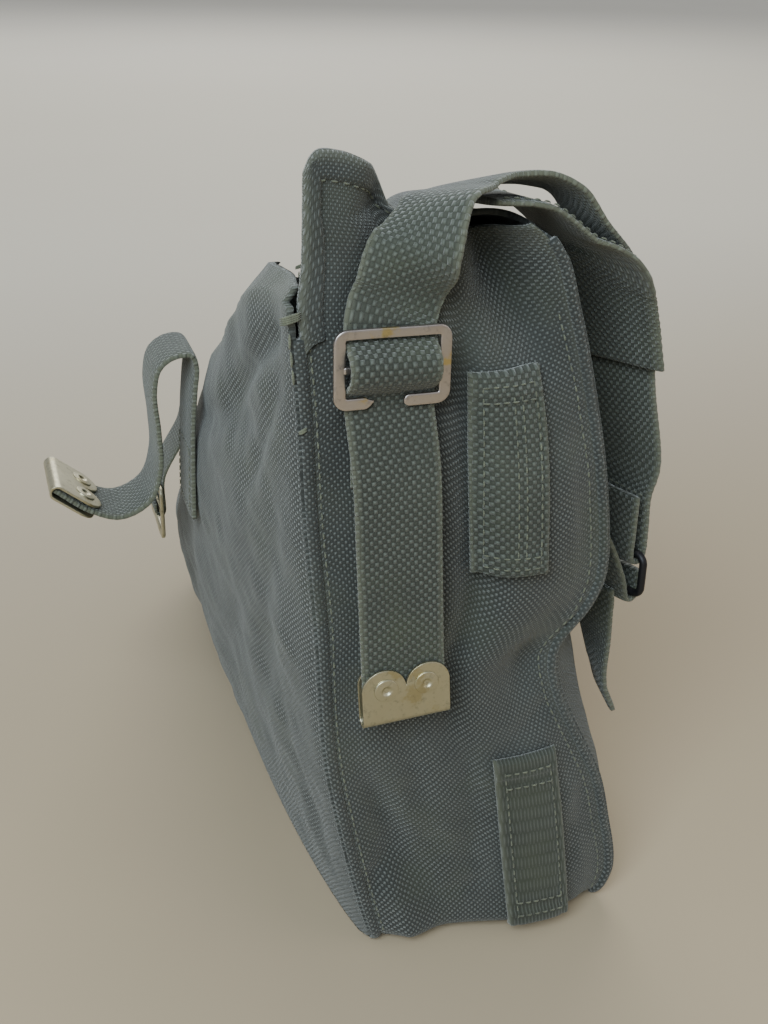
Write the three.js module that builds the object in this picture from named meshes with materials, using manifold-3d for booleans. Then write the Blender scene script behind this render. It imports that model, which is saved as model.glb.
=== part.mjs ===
// A canvas haversack standing on its bottom, with its shoulder strap buckled at the near side.
// Millimetres, +Z up. The origin is on the floor under the middle of the bottom.
// X runs from the front (-) to the back (+), Y from the near side (-) to the far side (+).
import * as THREE from 'three';
import { mergeVertices } from 'three/addons/utils/BufferGeometryUtils.js';
import Module from 'manifold-3d';

const wasm = await Module();
wasm.setup();

// Driving sizes of the bag
const bagWidth = 280;
const bagDepth = 84;
const bagHeight = 229;
const cornerRadius = 6;
const canvas = 1.8;
const seatGap = 0.4;
const seamGap = 1.1;
const earRise = 36;
const frontHemDrop = 28;
const creaseRise = 225;
const creaseDrop = 58;
const creaseNear = 2.8;
const creaseFar = 1.1;
const lidInset = 14;
const hemInset = 4.5;
const foldBackSlope = 0.82;

// The far end has sunk and leans back: where that starts across the width, how much of its
// height it loses, how far the front's and the back's tops lean, and from which height
const sinkStart = -0.143;
const farSink = 0.3;
const frontLean = 0.89 * bagDepth;
const backLean = 0.36 * bagDepth;
const leanRise = 0.26;

// Driving sizes of the webbing and its brass
const webWidth = 25.4;
const webbing = 2.2;
const bandWidth = 50;
const patchWebbing = 2;
const tipLength = 19.5;
const tipSheet = 0.8;
const tipSlack = 0.75;
const rivetRadius = 3.7;
const rivetHeight = 0.7;
const buckleBar = 3.3;
const windowGap = 0.35;
const buckleWidth = webWidth + 2 * (buckleBar + windowGap);
const buckleHeight = 22.5;
const middleBar = 2;
const chapeWebbing = 1.3;
const bucklePlate = 1.4;
const prongGap = 8.5;
const ringWire = 2.6;
const ringHeight = 17;
const looseTail = 55;

const halfWidth = bagWidth / 2;

// Cross-sections from the floor to the crease of the front, as shares of the depth ahead of centre
const frontProfile = [
  { rise: 0.0, seam: 0.505, middle: 0.667 },
  { rise: 0.1, seam: 0.576, middle: 0.73 },
  { rise: 0.23, seam: 0.652, middle: 0.8 },
  { rise: 0.36, seam: 0.71, middle: 0.86 },
  { rise: 0.56, seam: 0.743, middle: 0.935 },
  { rise: 0.72, seam: 0.78, middle: 0.955 },
  { rise: 0.87, seam: 0.8, middle: 0.93 },
  { rise: 1.0, seam: 0.829, middle: 0.857 },
];

// The back from the floor up, then the lid forward and down inside the front:
// shares of the depth behind centre and of the height, at the side seam and at mid-width
const backProfile = [
  { run: 0.0, seam: 0.46, middle: 0.5, seamRise: 0.0, middleRise: 0.0 },
  { run: 0.05, seam: 0.512, middle: 0.51, seamRise: 0.061, middleRise: 0.061 },
  { run: 0.12, seam: 0.46, middle: 0.52, seamRise: 0.16, middleRise: 0.16 },
  { run: 0.19, seam: 0.405, middle: 0.51, seamRise: 0.236, middleRise: 0.236 },
  { run: 0.25, seam: 0.333, middle: 0.5, seamRise: 0.293, middleRise: 0.293 },
  { run: 0.31, seam: 0.2, middle: 0.45, seamRise: 0.397, middleRise: 0.4 },
  { run: 0.37, seam: 0.173, middle: 0.42, seamRise: 0.472, middleRise: 0.47 },
  { run: 0.43, seam: 0.3, middle: 0.4, seamRise: 0.54, middleRise: 0.54 },
  { run: 0.48, seam: 0.338, middle: 0.39, seamRise: 0.598, middleRise: 0.6 },
  { run: 0.54, seam: 0.3, middle: 0.34, seamRise: 0.716, middleRise: 0.71 },
  { run: 0.61, seam: 0.231, middle: 0.26, seamRise: 0.83, middleRise: 0.82 },
  { run: 0.67, seam: 0.14, middle: 0.18, seamRise: 0.95, middleRise: 0.92 },
  { run: 0.72, seam: 0.043, middle: 0.08, seamRise: 1.04, middleRise: 0.99 },
  { run: 0.77, seam: -0.15, middle: -0.06, seamRise: 1.083, middleRise: 0.985 },
  { run: 0.83, seam: -0.38, middle: -0.22, seamRise: 1.08, middleRise: 0.93 },
  { run: 0.89, seam: -0.55, middle: -0.34, seamRise: 1.03, middleRise: 0.86 },
  { run: 0.95, seam: -0.65, middle: -0.46, seamRise: 0.95, middleRise: 0.76 },
  { run: 1.0, seam: -0.68, middle: -0.56, seamRise: 0.86, middleRise: 0.66 },
];
const lidStart = 0.7;

// The side's seams above the front panel, as shares of the depth and of the height
const earEdge = [
  { rise: 0.96, front: 0.825 },
  { rise: 1.03, front: 0.812 },
  { rise: 1.15, front: 0.805 },
];

// The top edge of the side cloth from the front seam to the back seam: shares of the ear's rise
const earTop = [
  { across: 0.0, rise: 0.84 },
  { across: 0.035, rise: 0.95 },
  { across: 0.08, rise: 1.0 },
  { across: 0.19, rise: 0.98 },
  { across: 0.25, rise: 0.95 },
  { across: 0.32, rise: 0.9 },
  { across: 0.37, rise: 0.845 },
  { across: 0.43, rise: 0.72 },
  { across: 0.5, rise: 0.5 },
  { across: 0.58, rise: 0.28 },
  { across: 0.7, rise: 0.24 },
  { across: 0.83, rise: 0.25 },
  { across: 0.93, rise: 0.35 },
  { across: 1.0, rise: 0.4 },
];

// Dents (+) and bulges (-) of the side cloth: centre and half spread across and up, slant,
// and depth as a share of the bag's depth
const sideFolds = [
  { across: 0.8, rise: 1.04, wide: 0.13, tall: 0.13, slant: 0.0, depth: 0.28 },
  { across: 0.36, rise: 1.04, wide: 0.1, tall: 0.16, slant: 0.7, depth: 0.115 },
  { across: 0.59, rise: 1.12, wide: 0.13, tall: 0.1, slant: 0.0, depth: 0.18 },
  { across: 0.53, rise: 0.66, wide: 0.07, tall: 0.3, slant: 0.1, depth: 0.07 },
  { across: 0.86, rise: 0.45, wide: 0.12, tall: 0.07, slant: 0.0, depth: 0.08 },
  { across: 0.17, rise: 0.2, wide: 0.07, tall: 0.11, slant: -0.5, depth: 0.08 },
  { across: 0.75, rise: 0.72, wide: 0.2, tall: 0.2, slant: 0.0, depth: -0.06 },
  { across: 0.5, rise: 0.45, wide: 0.45, tall: 0.45, slant: 0.0, depth: -0.07 },
  { across: 0.75, rise: 0.17, wide: 0.22, tall: 0.16, slant: 0.0, depth: -0.05 },
  { across: 0.12, rise: 0.0, wide: 0.12, tall: 0.12, slant: 0.0, depth: -0.06 },
  { across: 0.62, rise: 0.0, wide: 0.24, tall: 0.12, slant: 0.0, depth: -0.06 },
];

// Smooth value of one column at a place along the rows (cubic Hermite, slopes by differences)
function column(rows, key, place, name) {
  const last = rows.length - 1;
  const clamped = Math.min(Math.max(place, rows[0][key]), rows[last][key]);
  let i = 0;
  while (i < last - 1 && rows[i + 1][key] < clamped) {
    i += 1;
  }
  const slope = (k) => {
    const a = rows[Math.max(k - 1, 0)];
    const b = rows[Math.min(k + 1, last)];
    return (b[name] - a[name]) / (b[key] - a[key]);
  };
  const span = rows[i + 1][key] - rows[i][key];
  const s = (clamped - rows[i][key]) / span;
  const rise = s * s * (3 - 2 * s);
  const early = s * (1 - s) * (1 - s) * span * slope(i);
  const late = s * s * (1 - s) * span * slope(i + 1);
  return rows[i][name] * (1 - rise) + rows[i + 1][name] * rise + early - late;
}

// Share of the way from the side seam (0) to mid-width (1)
function inward(y, power) {
  const eta = Math.min(Math.abs(y) / halfWidth, 1);
  return Math.pow(1 - eta * eta, power);
}

// How far the bag has sunk at a place across it, 0 to 1
function sunk(y) {
  return THREE.MathUtils.smoothstep(y, sinkStart * bagWidth, halfWidth);
}

// The height at which cloth stands that would stand at a full height if nothing had sunk
function sink(y, full) {
  const low = canvas + cornerRadius;
  return full <= low ? full : low + (full - low) * (1 - farSink * sunk(y));
}

function unsink(y, z) {
  const low = canvas + cornerRadius;
  return z <= low ? z : low + (z - low) / (1 - farSink * sunk(y));
}

// How far back the cloth leans at a full height, from the front (share 0) to the back (share 1)
function lean(y, full, share) {
  const rise = THREE.MathUtils.smoothstep(full, leanRise * bagHeight, bagHeight);
  return sunk(y) * rise * (frontLean * (1 - share) + backLean * share);
}

// Full heights of the front's crease and hem
function creaseHeight(y) {
  return creaseRise - creaseDrop * inward(y, y < 0 ? creaseNear : creaseFar);
}

function frontHem(y) {
  return bagHeight - frontHemDrop * inward(y, y < 0 ? creaseNear : creaseFar);
}

// Where the front's inner face would stand at a full height without its lean
function frontBase(y, full) {
  const crease = creaseHeight(y);
  const mix = inward(y, 0.7);
  const rise = Math.min(full / crease, 1);
  const seam = column(frontProfile, 'rise', rise, 'seam');
  const middle = column(frontProfile, 'rise', rise, 'middle');
  const foldedBack = Math.max(full - crease, 0) * foldBackSlope;
  return -bagDepth * (seam * (1 - mix) + middle * mix) + foldedBack;
}

function frontX(y, full) {
  return frontBase(y, full) + lean(y, full, 0);
}

// A point of the back's and the lid's inner face
function backPoint(y, run) {
  const mix = 1 - Math.pow(Math.min(Math.abs(y) / halfWidth, 1), 6);
  const lidMix = inward(y, 0.8);
  const blend = THREE.MathUtils.smoothstep(run, 0.55, lidStart);
  const m = mix * (1 - blend) + lidMix * blend;
  const at = (name) => column(backProfile, 'run', run, name);
  const x = bagDepth * (at('seam') * (1 - m) + at('middle') * m);
  const full = bagHeight * (at('seamRise') * (1 - m) + at('middleRise') * m);
  const share = 1 - THREE.MathUtils.smoothstep(run, lidStart, 1);
  return new THREE.Vector3(x + lean(y, full, share), y, sink(y, full));
}

// Where the back's inner face stands at a height, by halving the run
function backX(y, z) {
  let low = 0;
  let high = 0.77;
  for (let i = 0; i < 30; i += 1) {
    const run = (low + high) / 2;
    if (backPoint(y, run).z < z) {
      low = run;
    } else {
      high = run;
    }
  }
  return backPoint(y, low).x;
}

// Half the width of the front and back at a height, round at the two lower corners
function halfSpan(z, radius, outer) {
  if (z >= radius) {
    return outer;
  }
  const drop = radius - z;
  return outer - radius + Math.sqrt(Math.max(radius * radius - drop * drop, 0));
}

function sideFrontX(y, full) {
  const share = full / bagHeight;
  const ear = -bagDepth * column(earEdge, 'rise', share, 'front');
  const part = THREE.MathUtils.smoothstep(share, earEdge[0].rise, earEdge[1].rise);
  const base = frontBase(y, Math.min(full, creaseRise)) * (1 - part) + ear * part;
  return base + lean(y, full, 0);
}

// How far the side cloth is pushed in at a place
function foldDepth(across, rise) {
  let sum = 0;
  for (const fold of sideFolds) {
    const dv = (rise - fold.rise) / fold.tall;
    const du = (across - fold.across - fold.slant * (rise - fold.rise)) / fold.wide;
    sum += fold.depth * Math.exp(-(du * du + dv * dv));
  }
  const edge = Math.min(across, 1 - across) * 8;
  return bagDepth * sum * Math.min(edge, 1);
}

// One closed skin from a function of two grid shares and of the wall's side (0 inner, 1 outer)
function skin(position, columns, rows) {
  const points = [];
  for (const side of [0, 1]) {
    for (let j = 0; j <= rows; j += 1) {
      for (let i = 0; i <= columns; i += 1) {
        points.push(position(i / columns, j / rows, side));
      }
    }
  }
  const wide = columns + 1;
  const layer = wide * (rows + 1);
  const faces = [];
  const quad = (a, b, c, d) => faces.push([a, b, c], [a, c, d]);
  for (let j = 0; j < rows; j += 1) {
    for (let i = 0; i < columns; i += 1) {
      const a = j * wide + i;
      quad(a, a + 1, a + wide + 1, a + wide);
      quad(layer + a, layer + a + wide, layer + a + wide + 1, layer + a + 1);
    }
  }
  for (let i = 0; i < columns; i += 1) {
    const top = rows * wide + i;
    quad(i + 1, i, layer + i, layer + i + 1);
    quad(top, top + 1, layer + top + 1, layer + top);
  }
  for (let j = 0; j < rows; j += 1) {
    const a = j * wide;
    const b = a + columns;
    quad(a, a + wide, layer + a + wide, layer + a);
    quad(b + wide, b, layer + b, layer + b + wide);
  }
  let volume = 0;
  for (const [a, b, c] of faces) {
    volume += points[a].dot(points[b].clone().cross(points[c]));
  }
  const index = faces.flatMap(([a, b, c]) => (volume > 0 ? [a, b, c] : [a, c, b]));
  const geometry = new THREE.BufferGeometry();
  const flat = points.flatMap((p) => [p.x, p.y, p.z]);
  geometry.setAttribute('position', new THREE.Float32BufferAttribute(flat, 3));
  geometry.setIndex(index);
  geometry.computeVertexNormals();
  return geometry;
}

// A strip of webbing through rows of a centre line, each row with the direction of its width
function ribbon(rows, width, thickness, steps) {
  const line = new THREE.CatmullRomCurve3(rows.map((row) => row.at), false, 'centripetal');
  const across = new THREE.CatmullRomCurve3(rows.map((row) => row.across), false, 'centripetal');
  return skin((u, v, side) => {
    const centre = line.getPoint(v);
    const along = line.getTangent(v);
    const wide = across.getPoint(v);
    wide.addScaledVector(along, -wide.dot(along)).normalize();
    const normal = new THREE.Vector3().crossVectors(wide, along).normalize();
    const point = centre.addScaledVector(wide, (u - 0.5) * width);
    return point.addScaledVector(normal, (side - 0.5) * thickness);
  }, 2, steps);
}

function toSolid(geometry) {
  const bare = geometry.clone();
  bare.deleteAttribute('normal');
  bare.deleteAttribute('uv');
  const merged = mergeVertices(bare, 1e-5);
  const vertProperties = new Float32Array(merged.attributes.position.array);
  const triVerts = new Uint32Array(merged.index.array);
  return new wasm.Manifold(new wasm.Mesh({ numProp: 3, vertProperties, triVerts }));
}

function toGeometry(solid) {
  const mesh = solid.getMesh();
  const geometry = new THREE.BufferGeometry();
  geometry.setAttribute('position', new THREE.BufferAttribute(mesh.vertProperties, 3));
  geometry.setIndex(new THREE.BufferAttribute(mesh.triVerts, 1));
  geometry.computeVertexNormals();
  return geometry;
}

const colours = {
  canvas: { color: 0x4d5648, roughness: 0.92, metalness: 0 },
  webbing: { color: 0x525c48, roughness: 0.9, metalness: 0 },
  brass: { color: 0x9a8f6a, roughness: 0.4, metalness: 1 },
  steel: { color: 0x8d8478, roughness: 0.38, metalness: 1 },
  darkMetal: { color: 0x26282a, roughness: 0.5, metalness: 0.8 },
};
const haversack = new THREE.Group();

function add(name, geometry, colour, parent = haversack) {
  const mesh = new THREE.Mesh(geometry, new THREE.MeshStandardMaterial(colours[colour]));
  mesh.name = name;
  parent.add(mesh);
  return mesh;
}

// The side strip: down the near side, under the bottom and up the far side.
// Its line in the Y-Z plane is two uprights, two round corners and the flat bottom.
const sideRows = 21;
const cornerRows = 3;
const bottomRows = 4;

function stripLine(step) {
  const far = step > sideRows + cornerRows + bottomRows / 2;
  const total = 2 * (sideRows + cornerRows) + bottomRows;
  const k = far ? total - step : step;
  const mirror = far ? 1 : -1;
  if (k <= sideRows) {
    return { mirror, share: 1 - k / sideRows, y: halfWidth, z: 0, ny: 1, nz: 0, upright: true };
  }
  if (k <= sideRows + cornerRows) {
    const angle = ((k - sideRows) / cornerRows) * (Math.PI / 2);
    const y = halfWidth - cornerRadius * (1 - Math.cos(angle));
    const z = canvas + cornerRadius * (1 - Math.sin(angle));
    return { mirror, y, z, ny: Math.cos(angle), nz: -Math.sin(angle), upright: false };
  }
  const run = (k - sideRows - cornerRows) / (bottomRows / 2);
  const y = (halfWidth - cornerRadius) * (1 - run);
  return { mirror, y, z: canvas, ny: 0, nz: -1, upright: false };
}

function stripPoint(across, step, side) {
  const line = stripLine(step);
  const rise = bagHeight + earRise * column(earTop, 'across', across, 'rise');
  const low = canvas + cornerRadius;
  const plain = line.upright ? low + (rise - low) * line.share : line.z;
  const push = foldDepth(across, plain / bagHeight) * line.ny;
  const y = (line.y - push) + side * canvas * line.ny;
  const full = plain + side * canvas * line.nz;
  const seamY = line.mirror * Math.min(y + push, halfWidth);
  const height = sink(seamY, full);
  const front = sideFrontX(seamY, full) + seamGap;
  const back = backX(seamY, height) - seamGap;
  return new THREE.Vector3(front + (back - front) * across, line.mirror * y, height);
}

const stripSteps = 2 * (sideRows + cornerRows) + bottomRows;
const stripGeometry = skin((u, v, side) => stripPoint(u, v * stripSteps, side), 15, stripSteps);
add('side_strip', stripGeometry, 'canvas');

// The front: up from the floor to the crease, then leaning back to its hem
const frontRows = 17;
const frontCreaseRow = 13;

function frontPoint(u, v, side) {
  const row = v * frontRows;
  const edge = halfWidth + canvas;
  const reach = (2 * u - 1) * edge;
  const crease = creaseHeight(reach);
  const hem = frontHem(reach);
  const past = Math.max(row - frontCreaseRow, 0) / (frontRows - frontCreaseRow);
  const full = crease * Math.min(row / frontCreaseRow, 1) + (hem - crease) * past;
  const inside = past > 0 ? hemInset : 0;
  const y = (2 * u - 1) * (halfSpan(full, cornerRadius + canvas, edge) - inside);
  return new THREE.Vector3(frontX(y, full) - side * canvas, y, sink(y, full));
}

add('front_panel', skin(frontPoint, 16, frontRows), 'canvas');

// The back and the lid: one cloth, the lid narrower so that it drops between the ears
function backLidPoint(u, v, side) {
  const edge = halfWidth + canvas;
  const guess = backPoint(0, v).z;
  const low = halfSpan(Math.max(guess, 0), cornerRadius + canvas, edge);
  const narrow = THREE.MathUtils.smoothstep(v, lidStart, 0.75) * (canvas + lidInset);
  const y = (2 * u - 1) * (v < 0.5 ? low : edge - narrow);
  const step = 0.004;
  const here = backPoint(y, v);
  const ahead = backPoint(y, Math.min(v + step, 1));
  const behind = backPoint(y, Math.max(v - step, 0));
  const along = ahead.sub(behind);
  const normal = new THREE.Vector3(along.z, 0, -along.x).normalize();
  const rest = THREE.MathUtils.smoothstep(v, 0, 0.05);
  normal.lerp(new THREE.Vector3(1, 0, 0), 1 - rest).normalize();
  return here.addScaledVector(normal, side * canvas);
}

add('back_panel_and_lid', skin(backLidPoint, 13, 35), 'canvas');

// The outer face of the near side's cloth at a place
function nearFace(x, z) {
  const radius = cornerRadius + canvas;
  const drop = Math.min(Math.max(radius - z, 0), radius);
  const reach = Math.sqrt(radius * radius - drop * drop);
  const front = sideFrontX(-halfWidth, z) + seamGap;
  const back = backX(-halfWidth, z) - seamGap;
  const across = Math.min(Math.max((x - front) / (back - front), 0), 1);
  return foldDepth(across, z / bagHeight) * (reach / radius) - (halfWidth - cornerRadius) - reach;
}

// Where a strip's middle lies when its width rests on the side's cloth
function seat(x, z, width, stand) {
  const shares = [-0.5, -0.25, 0, 0.25, 0.5];
  const face = Math.min(...shares.map((share) => nearFace(x + share * width, z)));
  return face - stand;
}

// Two webbing patches sewn on the near side, each a straight strip that leans a little.
// Places are shares of the bag's depth and height.
const sidePatches = [
  { name: 'upper_web_patch', x: -0.116, lean: 0.042, top: 0.89, bottom: 0.617 },
  { name: 'lower_web_patch', x: 0.041, lean: 0.111, top: 0.324, bottom: 0.022 },
];
const patchWidth = webWidth * 0.88;
const patchGap = 0.8;
const patchSlack = 2.5;
for (const patch of sidePatches) {
  const place = (u, v, side) => {
    const z = bagHeight * (patch.bottom + (patch.top - patch.bottom) * v);
    const x = bagDepth * (patch.x + patch.lean * (1 - v)) + (u - 0.5) * patchWidth;
    const face = Math.min(...[-patchSlack, 0, patchSlack].map((d) => nearFace(x + d, z)));
    return new THREE.Vector3(x, face - patchGap - side * patchWebbing, z);
  };
  add(patch.name, skin(place, 5, 11), 'webbing');
}

// A flat frame of metal with a bar across its middle, and prongs instead of a whole lower bar
function buckleGeometry(width, height, prongs) {
  const corner = buckleBar * 0.7;
  const outline = new THREE.Shape();
  const [w, h] = [width / 2, height / 2];
  outline.moveTo(-w + corner, -h);
  outline.lineTo(w - corner, -h);
  outline.absarc(w - corner, -h + corner, corner, -Math.PI / 2, 0);
  outline.absarc(w - corner, h - corner, corner, 0, Math.PI / 2);
  outline.absarc(-w + corner, h - corner, corner, Math.PI / 2, Math.PI);
  outline.absarc(-w + corner, -h + corner, corner, Math.PI, Math.PI * 1.5);
  const inside = w - buckleBar;
  const half = middleBar / 2;
  for (const [low, high] of [[half, h - buckleBar * 0.85], [-h + buckleBar, -half]]) {
    const hole = new THREE.Path();
    hole.moveTo(-inside, low);
    hole.lineTo(-inside, high);
    hole.lineTo(inside, high);
    hole.lineTo(inside, low);
    outline.holes.push(hole);
  }
  const options = { depth: bucklePlate, bevelEnabled: false, curveSegments: 5 };
  const frame = new THREE.ExtrudeGeometry(outline, options).translate(0, 0, -bucklePlate / 2);
  if (!prongs) {
    return frame;
  }
  const cut = new THREE.BoxGeometry(prongGap, buckleBar * 2, bucklePlate * 2);
  cut.translate(-prongGap * 0.12, -h, 0);
  return toGeometry(toSolid(frame).subtract(toSolid(cut)));
}

// The shoulder strap's buckle, its bars parallel to the floor, standing off the cloth
const buckleX = -0.533 * bagDepth;
const buckleZ = 0.915 * bagHeight;
const buckleStand = 7.2;
const buckleY = seat(buckleX, buckleZ, buckleWidth, buckleStand);
const strapBuckle = add('strap_buckle', buckleGeometry(buckleWidth, buckleHeight, true), 'steel');
strapBuckle.rotation.x = Math.PI / 2;
strapBuckle.position.set(buckleX, buckleY, buckleZ);

const sideways = new THREE.Vector3(1, 0, 0);
const upward = new THREE.Vector3(0, 0, 1);
const at = (x, y, z) => new THREE.Vector3(x * bagDepth, y, z * bagHeight);
const direction = (x, y, z) => new THREE.Vector3(x, y, z).normalize();
const along = (points, across) => points.map((point) => ({ at: point, across }));

// Points of a line folded round a bar: it comes at -pass, turns past the bar and leaves at +pass.
// The bar is half high, and turn is 1 over its top or -1 under it.
function wrap(place, pass, half, turn) {
  const slant = pass * Math.SQRT1_2;
  return [
    place(-pass, turn * half),
    place(-slant, turn * (half + slant)),
    place(0, turn * (half + pass)),
    place(slant, turn * (half + slant)),
    place(pass, turn * half),
  ];
}

// The strap's middle line passes the buckle's bars at this distance from the buckle's plane
const barPass = (bucklePlate + webbing) / 2 + seatGap;
const chapePass = (bucklePlate + chapeWebbing) / 2 + seatGap;
const overChape = chapePass + (chapeWebbing + webbing) / 2 + seatGap;
const byBuckle = (out, rise) => new THREE.Vector3(buckleX, buckleY - out, buckleZ + rise);
const upperWindow = buckleHeight / 2 - buckleBar * 0.85;
const lowerWindow = buckleHeight / 2 - buckleBar;

// The chape that holds the buckle: sewn to the cloth, up behind the middle bar and over it
const chapeWidth = webWidth * 0.8;
const chapeSeat = (z) => {
  const y = seat(buckleX, z, chapeWidth, seatGap + chapeWebbing / 2);
  return new THREE.Vector3(buckleX, y, z);
};
const chapePoints = [
  chapeSeat(buckleZ - buckleHeight * 1.6),
  chapeSeat(buckleZ - buckleHeight),
  byBuckle(-overChape - seatGap, -lowerWindow),
  ...wrap(byBuckle, chapePass, middleBar / 2, 1),
  byBuckle(chapePass, -middleBar / 2),
];
add('buckle_chape', ribbon(along(chapePoints, sideways), chapeWidth, chapeWebbing, 26), 'webbing');

// The wide band at the back's top edge, which the shoulder strap is sewn on
const bandRows = [
  { at: at(-0.16, -halfWidth + 25, 1.072), across: direction(0, -1, 0.15) },
  { at: at(0.05, -halfWidth + 25, 1.066), across: direction(0, -1, 0.1) },
  { at: at(0.2, -halfWidth + 25, 1.03), across: direction(0.1, -1, 0) },
  { at: at(0.304, -halfWidth + 25, 0.998), across: direction(0.3, -0.95, 0.02) },
  { at: at(0.357, -halfWidth + 29, 0.96), across: direction(0.38, -0.92, 0.06) },
  { at: at(0.4, -halfWidth + 31, 0.91), across: direction(0.38, -0.9, 0.15) },
  { at: at(0.452, -halfWidth + 32, 0.84), across: direction(0.3, -0.87, 0.35) },
];
add('shoulder_band', ribbon(bandRows, bandWidth, webbing, 18), 'webbing');

// A row that lies on another strip's row, moved across it and lifted off it
function lieOn(rows, i, shift, lift) {
  const run = rows[Math.min(i + 1, rows.length - 1)].at.clone().sub(rows[i - 1].at).normalize();
  const across = rows[i].across.clone().addScaledVector(run, -rows[i].across.dot(run)).normalize();
  const out = new THREE.Vector3().crossVectors(across, run);
  const point = rows[i].at.clone().addScaledVector(across, shift).addScaledVector(out, lift);
  return { at: point, across };
}

// The shoulder strap: its tail, through the buckle, up, and over the side's top to the band.
// Places along and up are shares of the bag's depth and height.
const tailStand = 7;
const tailPlace = (x, z) => at(x, seat(x * bagDepth, z * bagHeight, webWidth, tailStand), z);
const bandShift = 0.32 * (bandWidth - webWidth) / 2;
const bandLift = webbing + seatGap * 3.2;
const strapRows = [
  ...along([
    tailPlace(-0.471, 0.441),
    tailPlace(-0.483, 0.513),
    tailPlace(-0.503, 0.67),
    tailPlace(-0.517, 0.785),
    byBuckle(-barPass, -buckleHeight / 2),
    byBuckle(-barPass, -lowerWindow + seatGap),
    byBuckle(0.2 * overChape, -0.65 * lowerWindow),
    byBuckle(overChape, -middleBar),
    byBuckle(overChape, middleBar),
    byBuckle(0, upperWindow - barPass * 1.4),
    byBuckle(-barPass - seatGap * 1.5, upperWindow - seatGap * 2.5),
    byBuckle(-barPass - seatGap * 1.5, buckleHeight / 2 + seatGap),
    at(-0.5, -halfWidth - 5.5, 0.995),
  ], sideways),
  { at: at(-0.452, -halfWidth - 9, 1.055), across: direction(0.72, -0.68, 0.12) },
  { at: at(-0.385, -halfWidth - 5, 1.097), across: direction(0.42, -0.9, 0.14) },
  { at: at(-0.27, -halfWidth + 4.4, 1.103), across: direction(0.2, -0.95, 0.2) },
  { at: at(-0.13, -halfWidth + 12, 1.104), across: direction(0.04, -1, 0.28) },
  { at: at(0.03, -halfWidth + 13.2, 1.103), across: direction(0, -1, 0.28) },
  { at: at(0.13, -halfWidth + 13.5, 1.09), across: direction(0, -1, 0.22) },
  { at: at(0.235, -halfWidth + 16, 1.056), across: direction(0.08, -1, 0.02) },
  lieOn(bandRows, 3, bandShift, bandLift),
  lieOn(bandRows, 4, bandShift, bandLift),
];
add('shoulder_strap', ribbon(strapRows, webWidth, webbing, 54), 'webbing');

// Puts a piece in place from its own across and along directions
function place(mesh, origin, across, along) {
  const x = across.clone().addScaledVector(along, -across.dot(along)).normalize();
  const z = new THREE.Vector3().crossVectors(x, along);
  mesh.quaternion.setFromRotationMatrix(new THREE.Matrix4().makeBasis(x, along, z));
  mesh.position.copy(origin);
}

// A brass tip: sheet folded round the end of a strap, with a two-lobed edge and two eyelets
const tipWidth = webWidth + 2 * tipSheet;
const tipThick = webbing + 2 * (tipSheet + tipSlack);

function tipGeometry() {
  const lobe = tipWidth / 4;
  const outline = new THREE.Shape();
  outline.moveTo(-tipWidth / 2, 0);
  outline.lineTo(tipWidth / 2, 0);
  outline.absarc(lobe, tipLength - lobe, lobe, 0, Math.PI);
  outline.absarc(-lobe, tipLength - lobe, lobe, 0, Math.PI);
  const options = { depth: tipThick, bevelEnabled: false, curveSegments: 7 };
  const block = new THREE.ExtrudeGeometry(outline, options).translate(0, 0, -tipThick / 2);
  const slot = new THREE.BoxGeometry(tipWidth * 2, tipLength, webbing + 2 * tipSlack);
  slot.translate(0, tipLength / 2 + tipSheet, 0);
  return toGeometry(toSolid(block).subtract(toSolid(slot)));
}

function rivetGeometry() {
  const profile = [
    [0, 0],
    [rivetRadius, 0],
    [rivetRadius, rivetHeight * 0.5],
    [rivetRadius * 0.85, rivetHeight],
    [rivetRadius * 0.45, rivetHeight],
    [rivetRadius * 0.35, rivetHeight * 0.3],
    [0, rivetHeight * 0.3],
  ];
  const points = profile.map(([radius, height]) => new THREE.Vector2(radius, height));
  return new THREE.LatheGeometry(points, 12).rotateX(Math.PI / 2);
}

// A tip closes the first end of a strap's rows; its bottom lies just past that end
function addTip(name, end, next, across, outward) {
  const along = next.clone().sub(end).normalize();
  const group = new THREE.Group();
  place(group, end.clone().addScaledVector(along, -tipSheet - seatGap), across, along);
  haversack.add(group);
  add(name, tipGeometry(), 'brass', group);
  for (const [label, share] of [['left', -0.25], ['right', 0.25]]) {
    const rivet = add(`${name}_rivet_${label}`, rivetGeometry(), 'brass', group);
    rivet.rotation.y = outward > 0 ? 0 : Math.PI;
    const height = outward * (tipThick / 2 + 0.05);
    rivet.position.set(share * tipWidth * 0.92, tipLength * 0.66, height);
  }
}

addTip('strap_tip', strapRows[0].at, strapRows[1].at, sideways, 1);

// The ring at the back and the strap's rear end that is folded round its upper bar
const ringAcross = direction(0.35, -0.94, 0);
const ringOut = new THREE.Vector3().crossVectors(ringAcross, new THREE.Vector3(0, 0, 1));
const ringCentre = at(0.54, -halfWidth + 26, 0.53);
const ringWidth = webWidth + 2 * ringWire + 2;
const barReach = ringWire / 2 + seatGap * 1.5 + webbing / 2;
const byRing = (out, rise) => ringCentre.clone()
  .addScaledVector(ringOut, out)
  .addScaledVector(upward, rise);
const upperBar = (ringHeight - ringWire) / 2;

const rearRows = [
  { at: at(0.505, -halfWidth + 28, 0.872), across: direction(0.4, -0.9, 0) },
  { at: at(0.525, -halfWidth + 27, 0.8), across: direction(0.45, -0.88, 0) },
  { at: at(0.57, -halfWidth + 26, 0.7), across: direction(0.5, -0.86, 0) },
  ...along([
    byRing(-barReach, upperBar + 22),
    byRing(-barReach, upperBar + 8),
    ...wrap((out, rise) => byRing(out, upperBar + rise), barReach, 0, -1),
    byRing(barReach, upperBar + 8),
    byRing(barReach, upperBar + 21),
  ], ringAcross),
];
add('rear_strap', ribbon(rearRows, webWidth, webbing, 36), 'webbing');

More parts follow.
